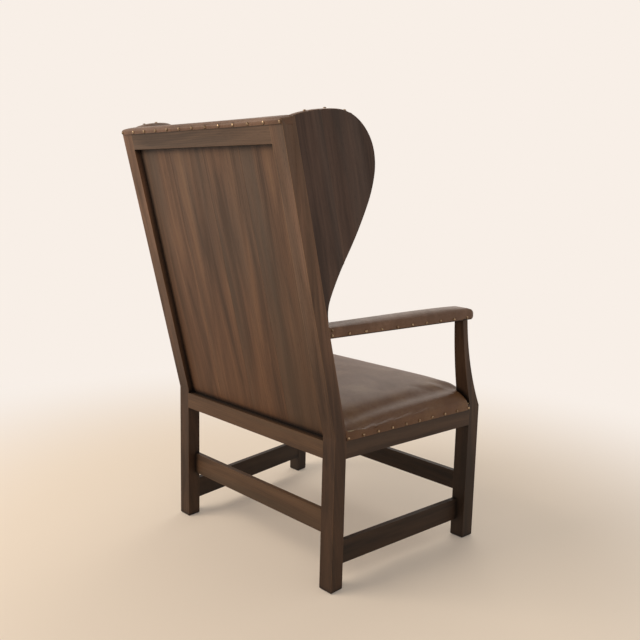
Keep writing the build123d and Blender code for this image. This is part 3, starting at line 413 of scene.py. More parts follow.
@dataclass(frozen=True)
class StainedOak:
    """Oak, sawn and planed, stained brown and waxed.

    The eye sees long soft streaks of stain, fine dark pores along the grain, and a satin shine
    that breaks up along the fibres. The arrises are painted paler, partly as rubbed wear and partly
    as a painted highlight; painted shade darkens the corners and the wood towards the floor.
    """

    name: str
    pale: str
    middle: str
    dark: str
    cool: str
    # paler colour of the arrises: rubbed wear, and a painted highlight where a rounded edge would
    # catch light
    worn_and_lit: str
    # painted shade towards the floor: its tint, and the heights where it starts and where it is
    # full
    low: str = "ffffff"
    shade_from: float = 0.60
    low_to: float = 0.33
    # strength of the painted shade in the corners between boards
    corner: float = 0.9
    # how strongly the arrises are painted paler, for wear and for a painted highlight
    wear_and_highlight: float = 0.55
    roughness: float = 0.56
    board_width: float = 0.0

    def material(self, label: str, turn: Triple, shift: float) -> Material:
        """Makes the finish for one board.

        Args:
            label: the board's name.
            turn: the angles that turn its grain to Z.
            shift: moves the pattern, so that no two boards are alike.

        Returns:
            The material.
        """
        material, add = new_material(f"{self.name}_{label}")
        place = add("TexCoord", output="Object")
        turned = add("Mapping", (place, (0.37 * shift, 0.71 * shift, 1.3 * shift), turn))
        tone = None
        if self.board_width:
            # Each board of the panel has its own tone and its own stretch of grain
            across = add("SeparateXYZ", (place,), "X")
            boards = add("Math", (across, self.board_width), operation="DIVIDE")
            number = add("Math", (boards,), operation="FLOOR")
            tone = add("TexWhiteNoise", {"W": number}, "Value", noise_dimensions="1D")
            jump = add("Math", (number, 3.1), operation="MULTIPLY")
            step = add("CombineXYZ", {"Y": jump, "Z": jump})
            turned = add("VectorMath", (turned, step), operation="ADD")
        # Stain streaks 10 to 30 mm wide and some 300 mm long
        long = add("VectorMath", (turned, (1.0, 1.0, 0.075)), operation="MULTIPLY")
        streak = add(
            "TexNoise",
            {"Vector": long, "Scale": 30.0, "Detail": 3.0, "Roughness": 0.55, "Distortion": 0.5},
        )
        # Growth rings 4 mm apart, wavering
        rings = add(
            "TexWave",
            {"Vector": long, "Scale": 62.0, "Distortion": 14.0, "Detail": 2.0, "Detail Scale": 0.6},
            "Fac", wave_type="BANDS", bands_direction="X",
        )
        # Fibres 1 mm apart
        fine = add("VectorMath", (turned, (1.0, 1.0, 0.02)), operation="MULTIPLY")
        fibre = add("TexNoise", {"Vector": fine, "Scale": 620.0, "Detail": 2.0, "Roughness": 0.6})
        # Pores are 0.3 mm wide in life, and 1 mm here, so that they show
        dashes = add("VectorMath", (turned, (1.0, 1.0, 0.06)), operation="MULTIPLY")
        pore = add("TexNoise", {"Vector": dashes, "Scale": 900.0, "Detail": 1.0})
        pore = add("MapRange", (pore, 0.62, 0.74, 0.0, 1.0))
        mixed = add("Math", (rings, 0.08, streak), operation="MULTIPLY_ADD")
        mixed = add("Math", (fibre, 0.14, mixed), operation="MULTIPLY_ADD")
        if tone is not None:
            mixed = add("Math", (tone, 0.10, mixed), operation="MULTIPLY_ADD")
        stops = ((0.46, self.dark), (0.66, self.middle), (0.9, self.pale))
        colour = add("ValToRGB", (mixed,), stops=stops)
        # Cooler, greyer areas a hand wide
        patch = add("TexNoise", {"Vector": long, "Scale": 11.0, "Detail": 3.0, "Roughness": 0.55})
        patch = add("MapRange", (patch, 0.48, 0.72, 0.0, 0.75))
        colour = add("Mix", {0: patch, 6: colour, 7: self.cool}, 2, **COVER)
        pore_share = add("Math", (pore, 0.35), operation="MULTIPLY")
        colour = add("Mix", {0: pore_share, 6: colour, 7: "4a3a30"}, 2, **DARKEN)
        # Arrises painted paler: partly rubbed wear, partly a painted highlight for the light a
        # rounded edge catches
        if self.wear_and_highlight:
            rounded = add("Bevel", (2.2 * MM,), samples=6)
            flat = add("NewGeometry", output="True Normal")
            agree = add("VectorMath", (rounded, flat), "Value", operation="DOT_PRODUCT")
            edge = add("MapRange", (agree, 0.995, 0.86, 0.0, self.wear_and_highlight))
            edge = add("Math", (edge, streak), operation="MULTIPLY")
            colour = add("Mix", {0: edge, 6: colour, 7: self.worn_and_lit}, 2, **COVER)
        # Painted shade: darker towards the floor
        height = add("SeparateXYZ", (place,), "Z")
        floor_shade = add(
            "MapRange", (height, self.shade_from, self.low_to, 0.0, 1.0),
            interpolation_type="SMOOTHSTEP",
        )
        colour = add("Mix", {0: floor_shade, 6: colour, 7: self.low}, 2, **DARKEN)
        # Painted shade in the corners between boards, where less light reaches
        openness = add("AmbientOcclusion", {"Distance": 16 * MM}, "AO", samples=6)
        corner = add("MapRange", (openness, 0.95, 0.55, 0.0, self.corner))
        colour = add("Mix", {0: corner, 6: colour, 7: "2c211a"}, 2, **DARKEN)
        gloss = add("MapRange", (mixed, 0.4, 0.95, self.roughness + 0.06, self.roughness - 0.06))
        relief = add("Math", (pore, -0.6, fibre), operation="MULTIPLY_ADD")
        bump = add("Bump", {"Height": relief, "Strength": 0.35, "Distance": 0.25 * MM})
        return set_surface(
            material,
            {"Base Color": colour, "Roughness": gloss, "Normal": bump, "Specular IOR Level": 0.3},
        )


@dataclass(frozen=True)
class NailedLeather:
    """Cowhide, drum dyed brown, waxed and worn.

    The eye sees a close pebbled grain, a soft satin sheen, and colour that clouds from lighter
    to darker.
    """

    name: str
    pale: str
    middle: str
    dark: str
    roughness: float = 0.46
    grain_size: float = 1.7  # mm; 0.9 in life, drawn coarser so that it shows
    crease: float = 0.35

    def material(self) -> Material:
        """Makes the leather."""
        material, add = new_material(self.name)
        place = add("TexCoord", output="Object")
        cloud = add(
            "TexNoise",
            {"Vector": place, "Scale": 11.0, "Detail": 5.0, "Roughness": 0.6, "Distortion": 0.4},
        )
        fleck = add("TexNoise", {"Vector": place, "Scale": 130.0, "Detail": 3.0, "Roughness": 0.6})
        cells = add(
            "TexVoronoi", {"Vector": place, "Scale": 1000.0 / self.grain_size}, "Distance",
            feature="DISTANCE_TO_EDGE",
        )
        valley = add("MapRange", (cells, 0.0, 0.18, 0.0, 1.0))
        # Creases some 20 mm long from years of sitting
        crease = add(
            "TexNoise",
            {"Vector": place, "Scale": 42.0, "Detail": 4.0, "Roughness": 0.7, "Distortion": 1.2},
        )
        tone = add("Math", (fleck, 0.3, cloud), operation="MULTIPLY_ADD")
        stops = ((0.24, self.dark), (0.63, self.middle), (1.0, self.pale))
        colour = add("ValToRGB", (tone,), stops=stops)
        shade = add("MapRange", (valley, 0.0, 1.0, 0.22, 0.0))
        colour = add("Mix", {0: shade, 6: colour, 7: "40302a"}, 2, **DARKEN)
        gloss = add("MapRange", (tone, 0.4, 0.9, self.roughness + 0.05, self.roughness - 0.04))
        folds = add("Bump", {"Height": crease, "Strength": self.crease, "Distance": 1.2 * MM})
        bump = add(
            "Bump", {"Height": valley, "Strength": 0.25, "Distance": 0.25 * MM, "Normal": folds}
        )
        return set_surface(
            material,
            {
                "Base Color": colour, "Roughness": gloss, "Normal": bump,
                "Specular IOR Level": 0.29, "Coat Weight": 0.05, "Coat Roughness": 0.3,
            },
        )


@dataclass(frozen=True)
class AntiqueBrass:
    """Stamped brass, browned and rubbed bright on top.

    The eye sees small warm glints and a dark brown tarnish in patches.
    """

    name: str = "antique_brass"
    bright: str = "b89d7e"
    tarnish: str = "5c4a39"

    def material(self) -> Material:
        """Makes the brass."""
        material, add = new_material(self.name)
        place = add("TexCoord", output="Object")
        patch = add("TexNoise", {"Vector": place, "Scale": 260.0, "Detail": 3.0, "Roughness": 0.6})
        colour = add("ValToRGB", (patch,), stops=((0.42, self.tarnish), (0.66, self.bright)))
        gloss = add("MapRange", (patch, 0.35, 0.65, 0.45, 0.3))
        bump = add("Bump", {"Height": patch, "Strength": 0.2, "Distance": 0.2 * MM})
        return set_surface(
            material, {"Base Color": colour, "Roughness": gloss, "Normal": bump, "Metallic": 1.0}
        )


@dataclass(frozen=True)
class ZincSteel:
    """Wood screws of zinc-plated steel: grey, dull and slightly blotched."""

    name: str = "zinc_plated_steel"
    pale: str = "9a9b98"
    dark: str = "5f605f"

    def material(self) -> Material:
        """Makes the steel."""
        material, add = new_material(self.name)
        place = add("TexCoord", output="Object")
        patch = add("TexNoise", {"Vector": place, "Scale": 300.0, "Detail": 3.0})
        colour = add("ValToRGB", (patch,), stops=((0.4, self.dark), (0.6, self.pale)))
        gloss = add("MapRange", (patch, 0.3, 0.7, 0.5, 0.32))
        return set_surface(material, {"Base Color": colour, "Roughness": gloss, "Metallic": 1.0})


@dataclass(frozen=True)
class JuteCloth:
    """Plain woven jute: straw-coloured yarn, over and under, with dark holes between."""

    name: str
    yarn: str
    slub: str
    hole: str
    pitch: float  # mm from one yarn to the next

    def material(self) -> Material:
        """Makes the cloth."""
        material, add = new_material(self.name)
        place = add("TexCoord", output="Object")
        scale = 1000.0 / self.pitch * pi / 10
        waves = {
            "Vector": place, "Scale": scale, "Distortion": 0.5, "Detail": 1.0, "Detail Scale": 0.3
        }
        threads = tuple(
            add("TexWave", waves, "Fac", wave_type="BANDS", bands_direction=way) for way in "XY"
        )
        weave = add("Math", threads, operation="MAXIMUM")
        slub = add("TexNoise", {"Vector": place, "Scale": 90.0, "Detail": 4.0, "Roughness": 0.7})
        yarn = add("Mix", {0: slub, 6: self.yarn, 7: self.slub}, 2, **COVER)
        gap = add("MapRange", (weave, 0.15, 0.6, 1.0, 0.0))
        colour = add("Mix", {0: gap, 6: yarn, 7: self.hole}, 2, **COVER)
        bump = add("Bump", {"Height": weave, "Strength": 0.6, "Distance": 0.5 * MM})
        return set_surface(
            material, {"Base Color": colour, "Normal": bump, "Roughness": 0.9, "Sheen Weight": 0.2}
        )


# The paler arrises are partly wear and partly a painted highlight; the tints towards the floor are
# painted shade.
WARM_OAK = StainedOak(
    "stile_oak", pale="866450", middle="694f3d", dark="4c382a", cool="5b4c41", worn_and_lit="a07c58",
    low="a59b8e", shade_from=0.80, low_to=0.34, wear_and_highlight=1.0,
)
RAIL_OAK = StainedOak(
    "rail_oak", pale="705948", middle="5d493a", dark="48392e", cool="54483e", worn_and_lit="83664e",
    low="e4d4bd", shade_from=0.8, low_to=0.36,
)
PANEL_OAK = StainedOak(
    "panel_oak", pale="795c45", middle="634a39", dark="4a382c", cool="564a40", worn_and_lit="8d6f55",
    low="e4d2bd", shade_from=1.0, low_to=0.42, corner=1.0, wear_and_highlight=0.0, board_width=0.135,
)
WING_OAK = StainedOak(
    "wing_oak", pale="644f45", middle="513f37", dark="3e302a", cool="4f4642", worn_and_lit="6a5546"
)
LEG_OAK = StainedOak(
    "leg_oak", pale="5d4634", middle="4b3729", dark="34261d", cool="46392f", worn_and_lit="7a5d45",
    low="aea79c", shade_from=0.46, low_to=0.16,
)
INNER_OAK = StainedOak(
    "plain_oak", pale="c9a679", middle="b08c62", dark="8f6f4c", cool="a98b69", worn_and_lit="c9a679",
    wear_and_highlight=0.0, roughness=0.65,
)
SEAT_LEATHER = NailedLeather("seat_leather_brown", pale="80603f", middle="6a4a32", dark="533925")
TRIM_LEATHER = NailedLeather("trim_leather_brown", pale="8a6a54", middle="6c4f3b", dark="523a2a")


# ---- the wooden frame


@dataclass(frozen=True)
class Board:
    """A wooden CAD node, or a left and a right one, the way its grain runs and its stain."""

    node: str
    grain: Grain
    oak: StainedOak
    paired: bool = True


def dress(node: str, material: Material) -> None:
    """Assigns a finish to every material slot of a CAD node."""
    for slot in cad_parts[node].material_slots:
        slot.material = material
    log.info("%s: %s", node, material.name)


@dataclass(frozen=True)
class OakFrame:
    """The joined oak frame: legs, rails, stretchers, panel and wings, dressed board by board."""

    boards: tuple[Board, ...] = (
        Board("rear_leg", Grain.BENT_LEG, WARM_OAK),
        Board("front_leg", Grain.SWEPT_POST, LEG_OAK),
        Board("back_top_rail", Grain.ACROSS, RAIL_OAK, False),
        Board("rear_seat_rail", Grain.ACROSS, RAIL_OAK, False),
        Board("front_seat_rail", Grain.ACROSS, LEG_OAK, False),
        Board("side_seat_rail", Grain.ALONG_SIDE, LEG_OAK),
        Board("back_panel", Grain.RAKED, PANEL_OAK, False),
        Board("rear_stretcher", Grain.ACROSS, RAIL_OAK, False),
        Board("front_stretcher", Grain.ACROSS, LEG_OAK, False),
        Board("side_stretcher", Grain.ALONG_SIDE, LEG_OAK),
        Board("wing_rear_board", Grain.RAKED, WING_OAK),
        Board("wing_front_board", Grain.RAKED, WING_OAK),
        Board("wing_keys", Grain.RAKED, INNER_OAK),
        Board("arm_rail", Grain.ALONG_SIDE, LEG_OAK),
        Board("corner_blocks", Grain.ACROSS, INNER_OAK, False),
    )
    shift: float = 1.7

    def build(self) -> None:
        """Gives each board its own stretch of oak."""
        number = 0
        for board in self.boards:
            for side in Side if board.paired else (Side.LEFT,):
                number += 1
                node = f"{board.node}_{side.word}" if board.paired else board.node
                dress(node, board.oak.material(node, board.grain.turn(side), self.shift * number))


@dataclass(frozen=True)
class Underside:
    """What carries the seat from below: webbing, hessian and the corner blocks' screws."""

    webbing: JuteCloth = JuteCloth("jute_webbing", "b09468", "8d7450", "4a3b28", 2.4)
    hessian: JuteCloth = JuteCloth("hessian_cloth", "b9a075", "94805c", "3a2f22", 1.8)
    screws: ZincSteel = ZincSteel()

    def build(self) -> None:
        """Dresses the three nodes."""
        dress("seat_webbing", self.webbing.material())
        dress("seat_hessian", self.hessian.material())
        dress("corner_block_screws", self.screws.material())


# ---- nails


@dataclass(frozen=True)
class NailSpot:
    """Where a nail goes in: the middle of its head's base, and the way it points out."""

    base: Vector
    outward: Vector


def nail_spots(node: str, shank: float = 0.011) -> list[NailSpot]:
    """Finds the nails of a CAD node from its loose parts.

    Args:
        node: the node's name.
        shank: length of the nails' shanks, in metres.

    Returns:
        A spot for each nail.
    """
    spots = []
    for part in loose_parts(copy_of("nail_finder", node)):
        points = [vertex.co.copy() for vertex in part.data.vertices]
        middle = sum(points, Vector()) / len(points)
        # The four points furthest from the middle are the shank's end
        tip = sum(sorted(points, key=lambda point: -(point - middle).length)[:4], Vector()) / 4
        outward = (middle - tip).normalized()
        spots.append(NailSpot(tip + outward * shank, outward))
        bpy.data.objects.remove(part)
    return sorted(spots, key=lambda spot: [round(value, 4) for value in spot.base.yxz])


@dataclass
class NailRow:
    """A row of domed upholstery nails."""

    name: str
    node: str
    radius: float = 0.0040
    height: float = 0.0026
    rim: float = 0.0007
    sunk: float = 0.0003
    sliced: float = 0.2  # share of the radius below the dome
    tilt: float = 4.0
    sizes: Span = (0.94, 1.05)
    crease: float = 50.0

    def head(self) -> Piece:
        """Models one head: a flattened dome on a thin rim.

        Returns:
            The head, its base at the origin and its dome up.
        """
        bpy.ops.object.select_all(action="DESELECT")
        bpy.ops.mesh.primitive_uv_sphere_add(
            segments=12, ring_count=8, radius=self.radius, location=(0, 0, 0)
        )
        head = bpy.context.view_layer.objects.active
        low = self.radius * self.sliced
        cut(head, UP * low, UP, True)
        for vertex in head.data.vertices:
            vertex.co.z = (vertex.co.z - low) / (self.radius - low) * (self.height - self.rim)
        select(head, True, lambda centre, normal: normal.z < -0.9)
        bpy.ops.mesh.extrude_region_move(TRANSFORM_OT_translate={"value": (0, 0, -self.rim)})
        bpy.ops.object.mode_set(mode="OBJECT")
        return head

    def build(self, material: Material, seed: int) -> list[NailSpot]:
        """Sets a head on each nail of the node.

        Args:
            material: the nails' finish.
            seed: start of the small random tilts.

        Returns:
            The nails' spots.
        """
        chance = random.Random(seed)
        spots = nail_spots(self.node)
        model = self.head()
        heads = []
        for spot in spots:
            head = add_object(self.name, model.data.copy())
            wobble = Vector([chance.uniform(-1, 1) for _ in range(3)])
            aim = (spot.outward + wobble * radians(self.tilt)).normalized()
            turn = UP.rotation_difference(aim).to_matrix().to_4x4()
            spin = Matrix.Rotation(chance.uniform(0, tau), 4, "Z")
            size = Matrix.Scale(chance.uniform(*self.sizes), 4)
            rise = spot.base + spot.outward * (self.rim - self.sunk)
            head.data.transform(Matrix.Translation(rise) @ turn @ spin @ size)
            heads.append(head)
        bpy.data.objects.remove(model)
        row = join(*heads)
        row.name = self.name
        smooth(row, self.crease)
        hand_over(row, material, [self.node])
        return spots


# ---- upholstery


@dataclass(frozen=True)
class Puff:
    """How a cover swells over its stuffing."""

    cap: float
    calm: int = 0
    pressure: float = 4.0
    stiffness: float = 20.0
    mass: float = 0.4
    quality: int = 4
    frames: int = 20

    def blow(self, piece: Piece, held: Callable[[Vector], bool]) -> None:
        """Args:
            piece: the closed mesh.
            held: says whether a point is nailed down.
        """
        pick(piece)
        before = [vertex.co.copy() for vertex in piece.data.vertices]
        group = piece.vertex_groups.new(name="nailed")
        for vertex in piece.data.vertices:
            group.add([vertex.index], float(held(vertex.co)), "REPLACE")
        cloth = piece.modifiers.new("cover", "CLOTH")
        cloth.settings.quality = self.quality
        cloth.settings.mass = self.mass
        cloth.settings.tension_stiffness = self.stiffness
        cloth.settings.compression_stiffness = self.stiffness
        cloth.settings.use_pressure = True
        cloth.settings.uniform_pressure_force = self.pressure
        cloth.settings.effector_weights.gravity = 0
        cloth.settings.vertex_group_mass = "nailed"
        cloth.collision_settings.use_collision = False
        cloth.point_cache.frame_start = 1
        cloth.point_cache.frame_end = self.frames
        for number in range(1, self.frames + 1):
            bpy.context.scene.frame_set(number)
        bpy.ops.object.modifier_apply(modifier=cloth.name)
        bpy.context.scene.frame_set(1)
        furthest = 0.0
        for vertex, old in zip(piece.data.vertices, before):
            move = vertex.co - old
            furthest = max(furthest, move.length)
            if move.length > self.cap:
                vertex.co = old + move * (self.cap / move.length)
        if self.calm:
            finish_with(
                piece, "SMOOTH", factor=0.5, iterations=self.calm, vertex_group="nailed",
                invert_vertex_group=True,
            )
        piece.vertex_groups.clear()
        log.info("%s swelled, furthest %.1f mm before the cap", piece.name, furthest / MM)


@dataclass(kw_only=True)
class Cover:
    """A leather cover over its stuffing, nailed to the frame."""

    planes: Planes
    voxel: float
    puff: Puff
    proud: float = 0.0
    leather: float = 0.0016
    dent: float = 0.0007
    dent_reach: float = 0.007
    skirt: float = 0.0  # height of the lower edge
    hem: float = 0.004  # goes on this far below the edge, until it is cut
    nailed: float = 0.0  # held this far up from the edge
    tucked: float = -1.0  # held up to this far in front of the stiles
    gap: float = 0.3  # mm between the leather and the stile
    crease: float = 60.0

    def held(self, point: Vector) -> bool:
        """Says whether a point is nailed down at the edge, or tucked in at the stiles."""
        along_edge = point.z < self.skirt + self.nailed
        return along_edge or self.planes.before_stiles(point) < self.tucked

    def remesh(self, piece: Piece) -> None:
        """Gives a piece one even skin."""
        finish_with(piece, "REMESH", mode="VOXEL", voxel_size=self.voxel)

    def soften(self, piece: Piece) -> None:
        """Lifts a skin off its stuffing, swells it and refines it."""
        if self.proud:
            edit_all(piece, bpy.ops.transform.shrink_fatten, value=self.proud)
        self.puff.blow(piece, self.held)
        finish_with(piece, "SUBSURF", levels=1, render_levels=1)

    def press_in(self, piece: Piece, spots: list[NailSpot]) -> None:
        """Pulls a cover in round each nail."""
        for vertex in piece.data.vertices:
            for spot in spots:
                away = vertex.co - spot.base
                if away.length < 3 * self.dent_reach:
                    across = (away - spot.outward * away.dot(spot.outward)).length
                    vertex.co -= spot.outward * self.dent * bell(across, self.dent_reach)

    def give_thickness(self, piece: Piece) -> None:
        """Turns the skin into leather of its thickness, shaded smooth but for its cut edges."""
        finish_with(piece, "SOLIDIFY", thickness=self.leather, offset=-1.0)
        smooth(piece, self.crease)


@dataclass(kw_only=True)
class SeatCover(Cover):
    """The leather of the seat, pulled over its stuffing and nailed to the rails.

    Each pair of numbers says where a share starts to rise from 0, and over what it gets to 1.
    """

    voxel: float = 0.0065
    puff: Puff = Puff(cap=0.004)
    proud: float = 0.002
    leather: float = 0.0018
    dent: float = 0.0009
    dent_reach: float = 0.009
    skirt: float = 0.373
    nailed: float = 0.012
    tucked: float = 0.006
    rail_top: float = 0.3885
    roll: float = 0.014
    crown: float = 0.0025
    valley: float = 0.046
    valley_width: float = 0.017
    sink: float = 0.006
    tuck: float = 0.032
    tuck_width: float = 0.100
    tuck_reach: float = 0.220
    upward: Span = (0.2, 0.5)
    settling: Span = (-0.018, 0.015)
    facing: Span = (0.4, 0.25)
    near: Span = (-0.008, 0.004)
    eased: Span = (0.002, 0.006)
    front_depth: float = 0.004
    front_facing: float = -0.6

    def build(self, material: Material, spots: list[NailSpot]) -> None:
        """Makes the cover from the stuffing's shape.

        Args:
            material: the leather.
            spots: the nails along the rails.
        """
        piece = copy_of("seat_cover", "seat_stuffing")
        base = min(vertex.co.z for vertex in piece.data.vertices)
        for vertex in piece.data.vertices:
            if vertex.co.z < base + TOUCH:
                vertex.co.z = self.skirt - self.hem
        self.remesh(piece)
        self.soften(piece)
        self.draw_in_rolls(piece)
        self.lay_on_rails(piece)
        self.ease(piece)
        self.press_in(piece, spots)
        cut(piece, UP * self.skirt, UP)
        delete_faces(piece, self.hidden)
        self.give_thickness(piece)
        hand_over(piece, material, ["seat_leather", "seat_stuffing"])

    def draw_in_rolls(self, piece: Piece) -> None:
        """Sinks a soft valley behind the firm side rolls, and pulls the rear corners down."""
        # The normals are read first, because each move makes Blender work them all out again
        tops = [vertex.normal.z for vertex in piece.data.vertices]
        for vertex, top in zip(piece.data.vertices, tops):
            share = ramp(top, *self.upward)
            if share <= 0:
                continue
            inside = -max(self.planes.outside(vertex.co, side) for side in Side)
            rise = self.crown * bell(inside - self.roll, self.valley_width)
            rise -= self.sink * bell(inside - self.valley, self.valley_width)
            fade = exp(-self.planes.before_stiles(vertex.co) / self.tuck_reach)
            rise -= self.tuck * bell(inside, self.tuck_width) * fade
            vertex.co.z += rise * share

    def lay_on_rails(self, piece: Piece) -> None:
        """Brings the skirt to lie on the rails' outer faces."""
        outward = {side: self.planes.side_outward(side) for side in Side}
        normals = [vertex.normal.copy() for vertex in piece.data.vertices]
        for vertex, normal in zip(piece.data.vertices, normals):
            share = ramp(self.rail_top - vertex.co.z, *self.settling)
            if share <= 0:
                continue
            for side in Side:
                out = self.planes.outside(vertex.co, side)
                facing = ramp(normal.dot(outward[side]), *self.facing)
                near = ramp(out, *self.near)
                vertex.co += outward[side] * (self.proud - out) * share * facing * near
            behind = vertex.co.y - self.planes.front_y
            if behind < self.front_depth and normal.y < self.front_facing:
                vertex.co.y -= (self.proud + behind) * share

    def ease(self, piece: Piece) -> None:
        """Smooths the cover above the skirt, where the roll starts."""
        group = piece.vertex_groups.new(name="eased")
        for vertex in piece.data.vertices:
            weight = ramp(vertex.co.z - self.rail_top, *self.eased)
            group.add([vertex.index], weight, "REPLACE")
        finish_with(piece, "SMOOTH", factor=0.5, iterations=10, vertex_group="eased")
        piece.vertex_groups.clear()

    def hidden(self, centre: Vector, normal: Vector) -> bool:
        """Faces below the rails' top that don't lie outside a rail."""
        if centre.z > self.rail_top:
            return False
        out = max(self.planes.outside(centre, side) for side in Side)
        return not (out > TOUCH or centre.y < self.planes.front_y - TOUCH)


@dataclass(kw_only=True)
class ArmCover(Cover):
    """The leather over one padded arm."""

    side: Side
    voxel: float = 0.0038
    puff: Puff = Puff(cap=0.0022)
    dent: float = 0.0008
    skirt: float = 0.6242
    nailed: float = 0.008
    tucked: float = 0.004
    edge: float = 0.6465
    length: float = 0.45
    fullness: Span = (0.35, 0.80)
    flush: float = 0.0015
    backward: float = -0.8

    def build(self, material: Material, spots: list[NailSpot]) -> None:
        """Makes the cover from the arm's whole shape.

        Args:
            material: the leather.
            spots: the arm's nails.
        """
        word = self.side.word
        nodes = [f"arm_leather_{word}", f"arm_padding_{word}"]
        piece = copy_of(f"arm_cover_{word}", *nodes, f"arm_rail_{word}")
        self.remesh(piece)
        self.soften(piece)
        self.flatten(piece)
        self.press_in(piece, spots)
        cut(piece, UP * self.skirt, UP)
        cut(piece, self.planes.stile_front(self.gap), self.planes.back_front)
        delete_faces(piece, self.at_stile)
        self.give_thickness(piece)
        hand_over(piece, material, nodes)

    def flatten(self, piece: Piece) -> None:
        """Presses the stuffing down above the arm's upper edges, most of all at the stile."""
        rear, front = self.fullness
        for vertex in piece.data.vertices:
            above = vertex.co.z - self.edge
            if above > 0:
                ahead = ramp(self.planes.before_stiles(vertex.co), 0.0, self.length)
                vertex.co.z = self.edge + above * (rear + (front - rear) * ahead)

    def at_stile(self, centre: Vector, normal: Vector) -> bool:
        """Faces that lie against the stile."""
        backward = normal.dot(self.planes.back_front) < self.backward
        return backward and self.planes.before_stiles(centre) < self.flush


@dataclass(kw_only=True)
class WingCover(Cover):
    """The leather on a wing's inner face and round its edge."""

    side: Side
    voxel: float = 0.0045
    puff: Puff = Puff(cap=0.004, calm=8)
    proud: float = 0.0016
    tucked: float = 0.005
    gap: float = 0.6
    pad: float = 0.032
    lip: float = 0.006  # held this far inside the boards
    roll: float = 0.010
    slack: float = 0.0003

    def build(self, material: Material, spots: list[NailSpot]) -> None:
        """Makes the cover from the wing's padding and boards.

        Args:
            material: the leather.
            spots: the nails round the wing's edge.
        """
        word = self.side.word
        nodes = [f"wing_leather_{word}", f"wing_padding_{word}"]
        padding = copy_of("wing_padding_copy", nodes[1])
        edit_all(padding, bpy.ops.mesh.dissolve_limited, angle_limit=radians(0.5))
        if select(padding, False, self.on_roll):
            bpy.ops.mesh.bevel(offset=self.roll, segments=4, profile=0.5, affect="EDGES")
        bpy.ops.object.mode_set(mode="OBJECT")
        wood = (f"wing_rear_board_{word}", f"wing_front_board_{word}")
        piece = join(copy_of(f"wing_cover_{word}", *wood), padding)
        self.remesh(piece)
        self.soften(piece)
        self.press_in(piece, spots)
        cut(piece, self.planes.wing_corner(self.side), -self.planes.wing_outward(self.side))
        cut(piece, self.planes.stile_front(self.gap), self.planes.back_front)
        piece = keep_largest(piece)
        self.give_thickness(piece)
        hand_over(piece, material, nodes)

    def on_roll(self, start: Vector, end: Vector) -> bool:
        """Edges of the padding's inner face, apart from the one along the stile."""
        ends = (start, end)
        depths = [self.planes.wing_depth(point, self.side) for point in ends]
        inner = all(abs(floor_shade - self.pad) < self.slack for floor_shade in depths)
        return inner and not all(self.planes.before_stiles(point) < 1 * MM for point in ends)

    def held(self, point: Vector) -> bool:
        """Only the inner face is free; the wood side, the edge and the stile's side are held."""
        shallow = self.planes.wing_depth(point, self.side) <= self.planes.board + self.lip
        return shallow or super().held(point)


@dataclass(kw_only=True)
class BackCover(Cover):
    """The padded leather back, from the seat to the top rail."""

    voxel: float = 0.007
    puff: Puff = Puff(cap=0.008)
    proud: float = 0.0012
    tucked: float = 0.004
    gap: float = -3.0

    def build(self, material: Material) -> None:
        """Makes the cushion from the front of the padding."""
        piece = copy_of("back_cushion", "back_padding")
        cut(piece, self.planes.stile_front(self.gap), self.planes.back_front, True)
        self.remesh(piece)
        piece = keep_largest(piece)
        self.soften(piece)
        smooth(piece)
        hand_over(piece, material, ["back_leather", "back_padding"])


@dataclass(kw_only=True)
class CrestStrap(Cover):
    """The leather strap over the top rail and the stiles."""

    voxel: float = 0.003
    puff: Puff = Puff(cap=0.0015)
    dent: float = 0.0006
    dent_reach: float = 0.006
    skirt: float = 1.079
    hem: float = 0.008
    nailed: float = 0.006

    def build(self, material: Material, spots: list[NailSpot]) -> None:
        """Makes the strap from the top of the frame, leather and all.

        Args:
            material: the leather.
            spots: the nails along its lower edge.
        """
        wood = ("back_top_rail", "rear_leg_left", "rear_leg_right")
        piece = copy_of("crest_strap", "crest_leather", *wood)
        cut(piece, UP * (self.skirt - self.hem), UP, True)
        self.remesh(piece)
        self.soften(piece)
        self.press_in(piece, spots)
        cut(piece, UP * self.skirt, UP)
        self.give_thickness(piece)
        hand_over(piece, material, ["crest_leather"])


# ---- the studio


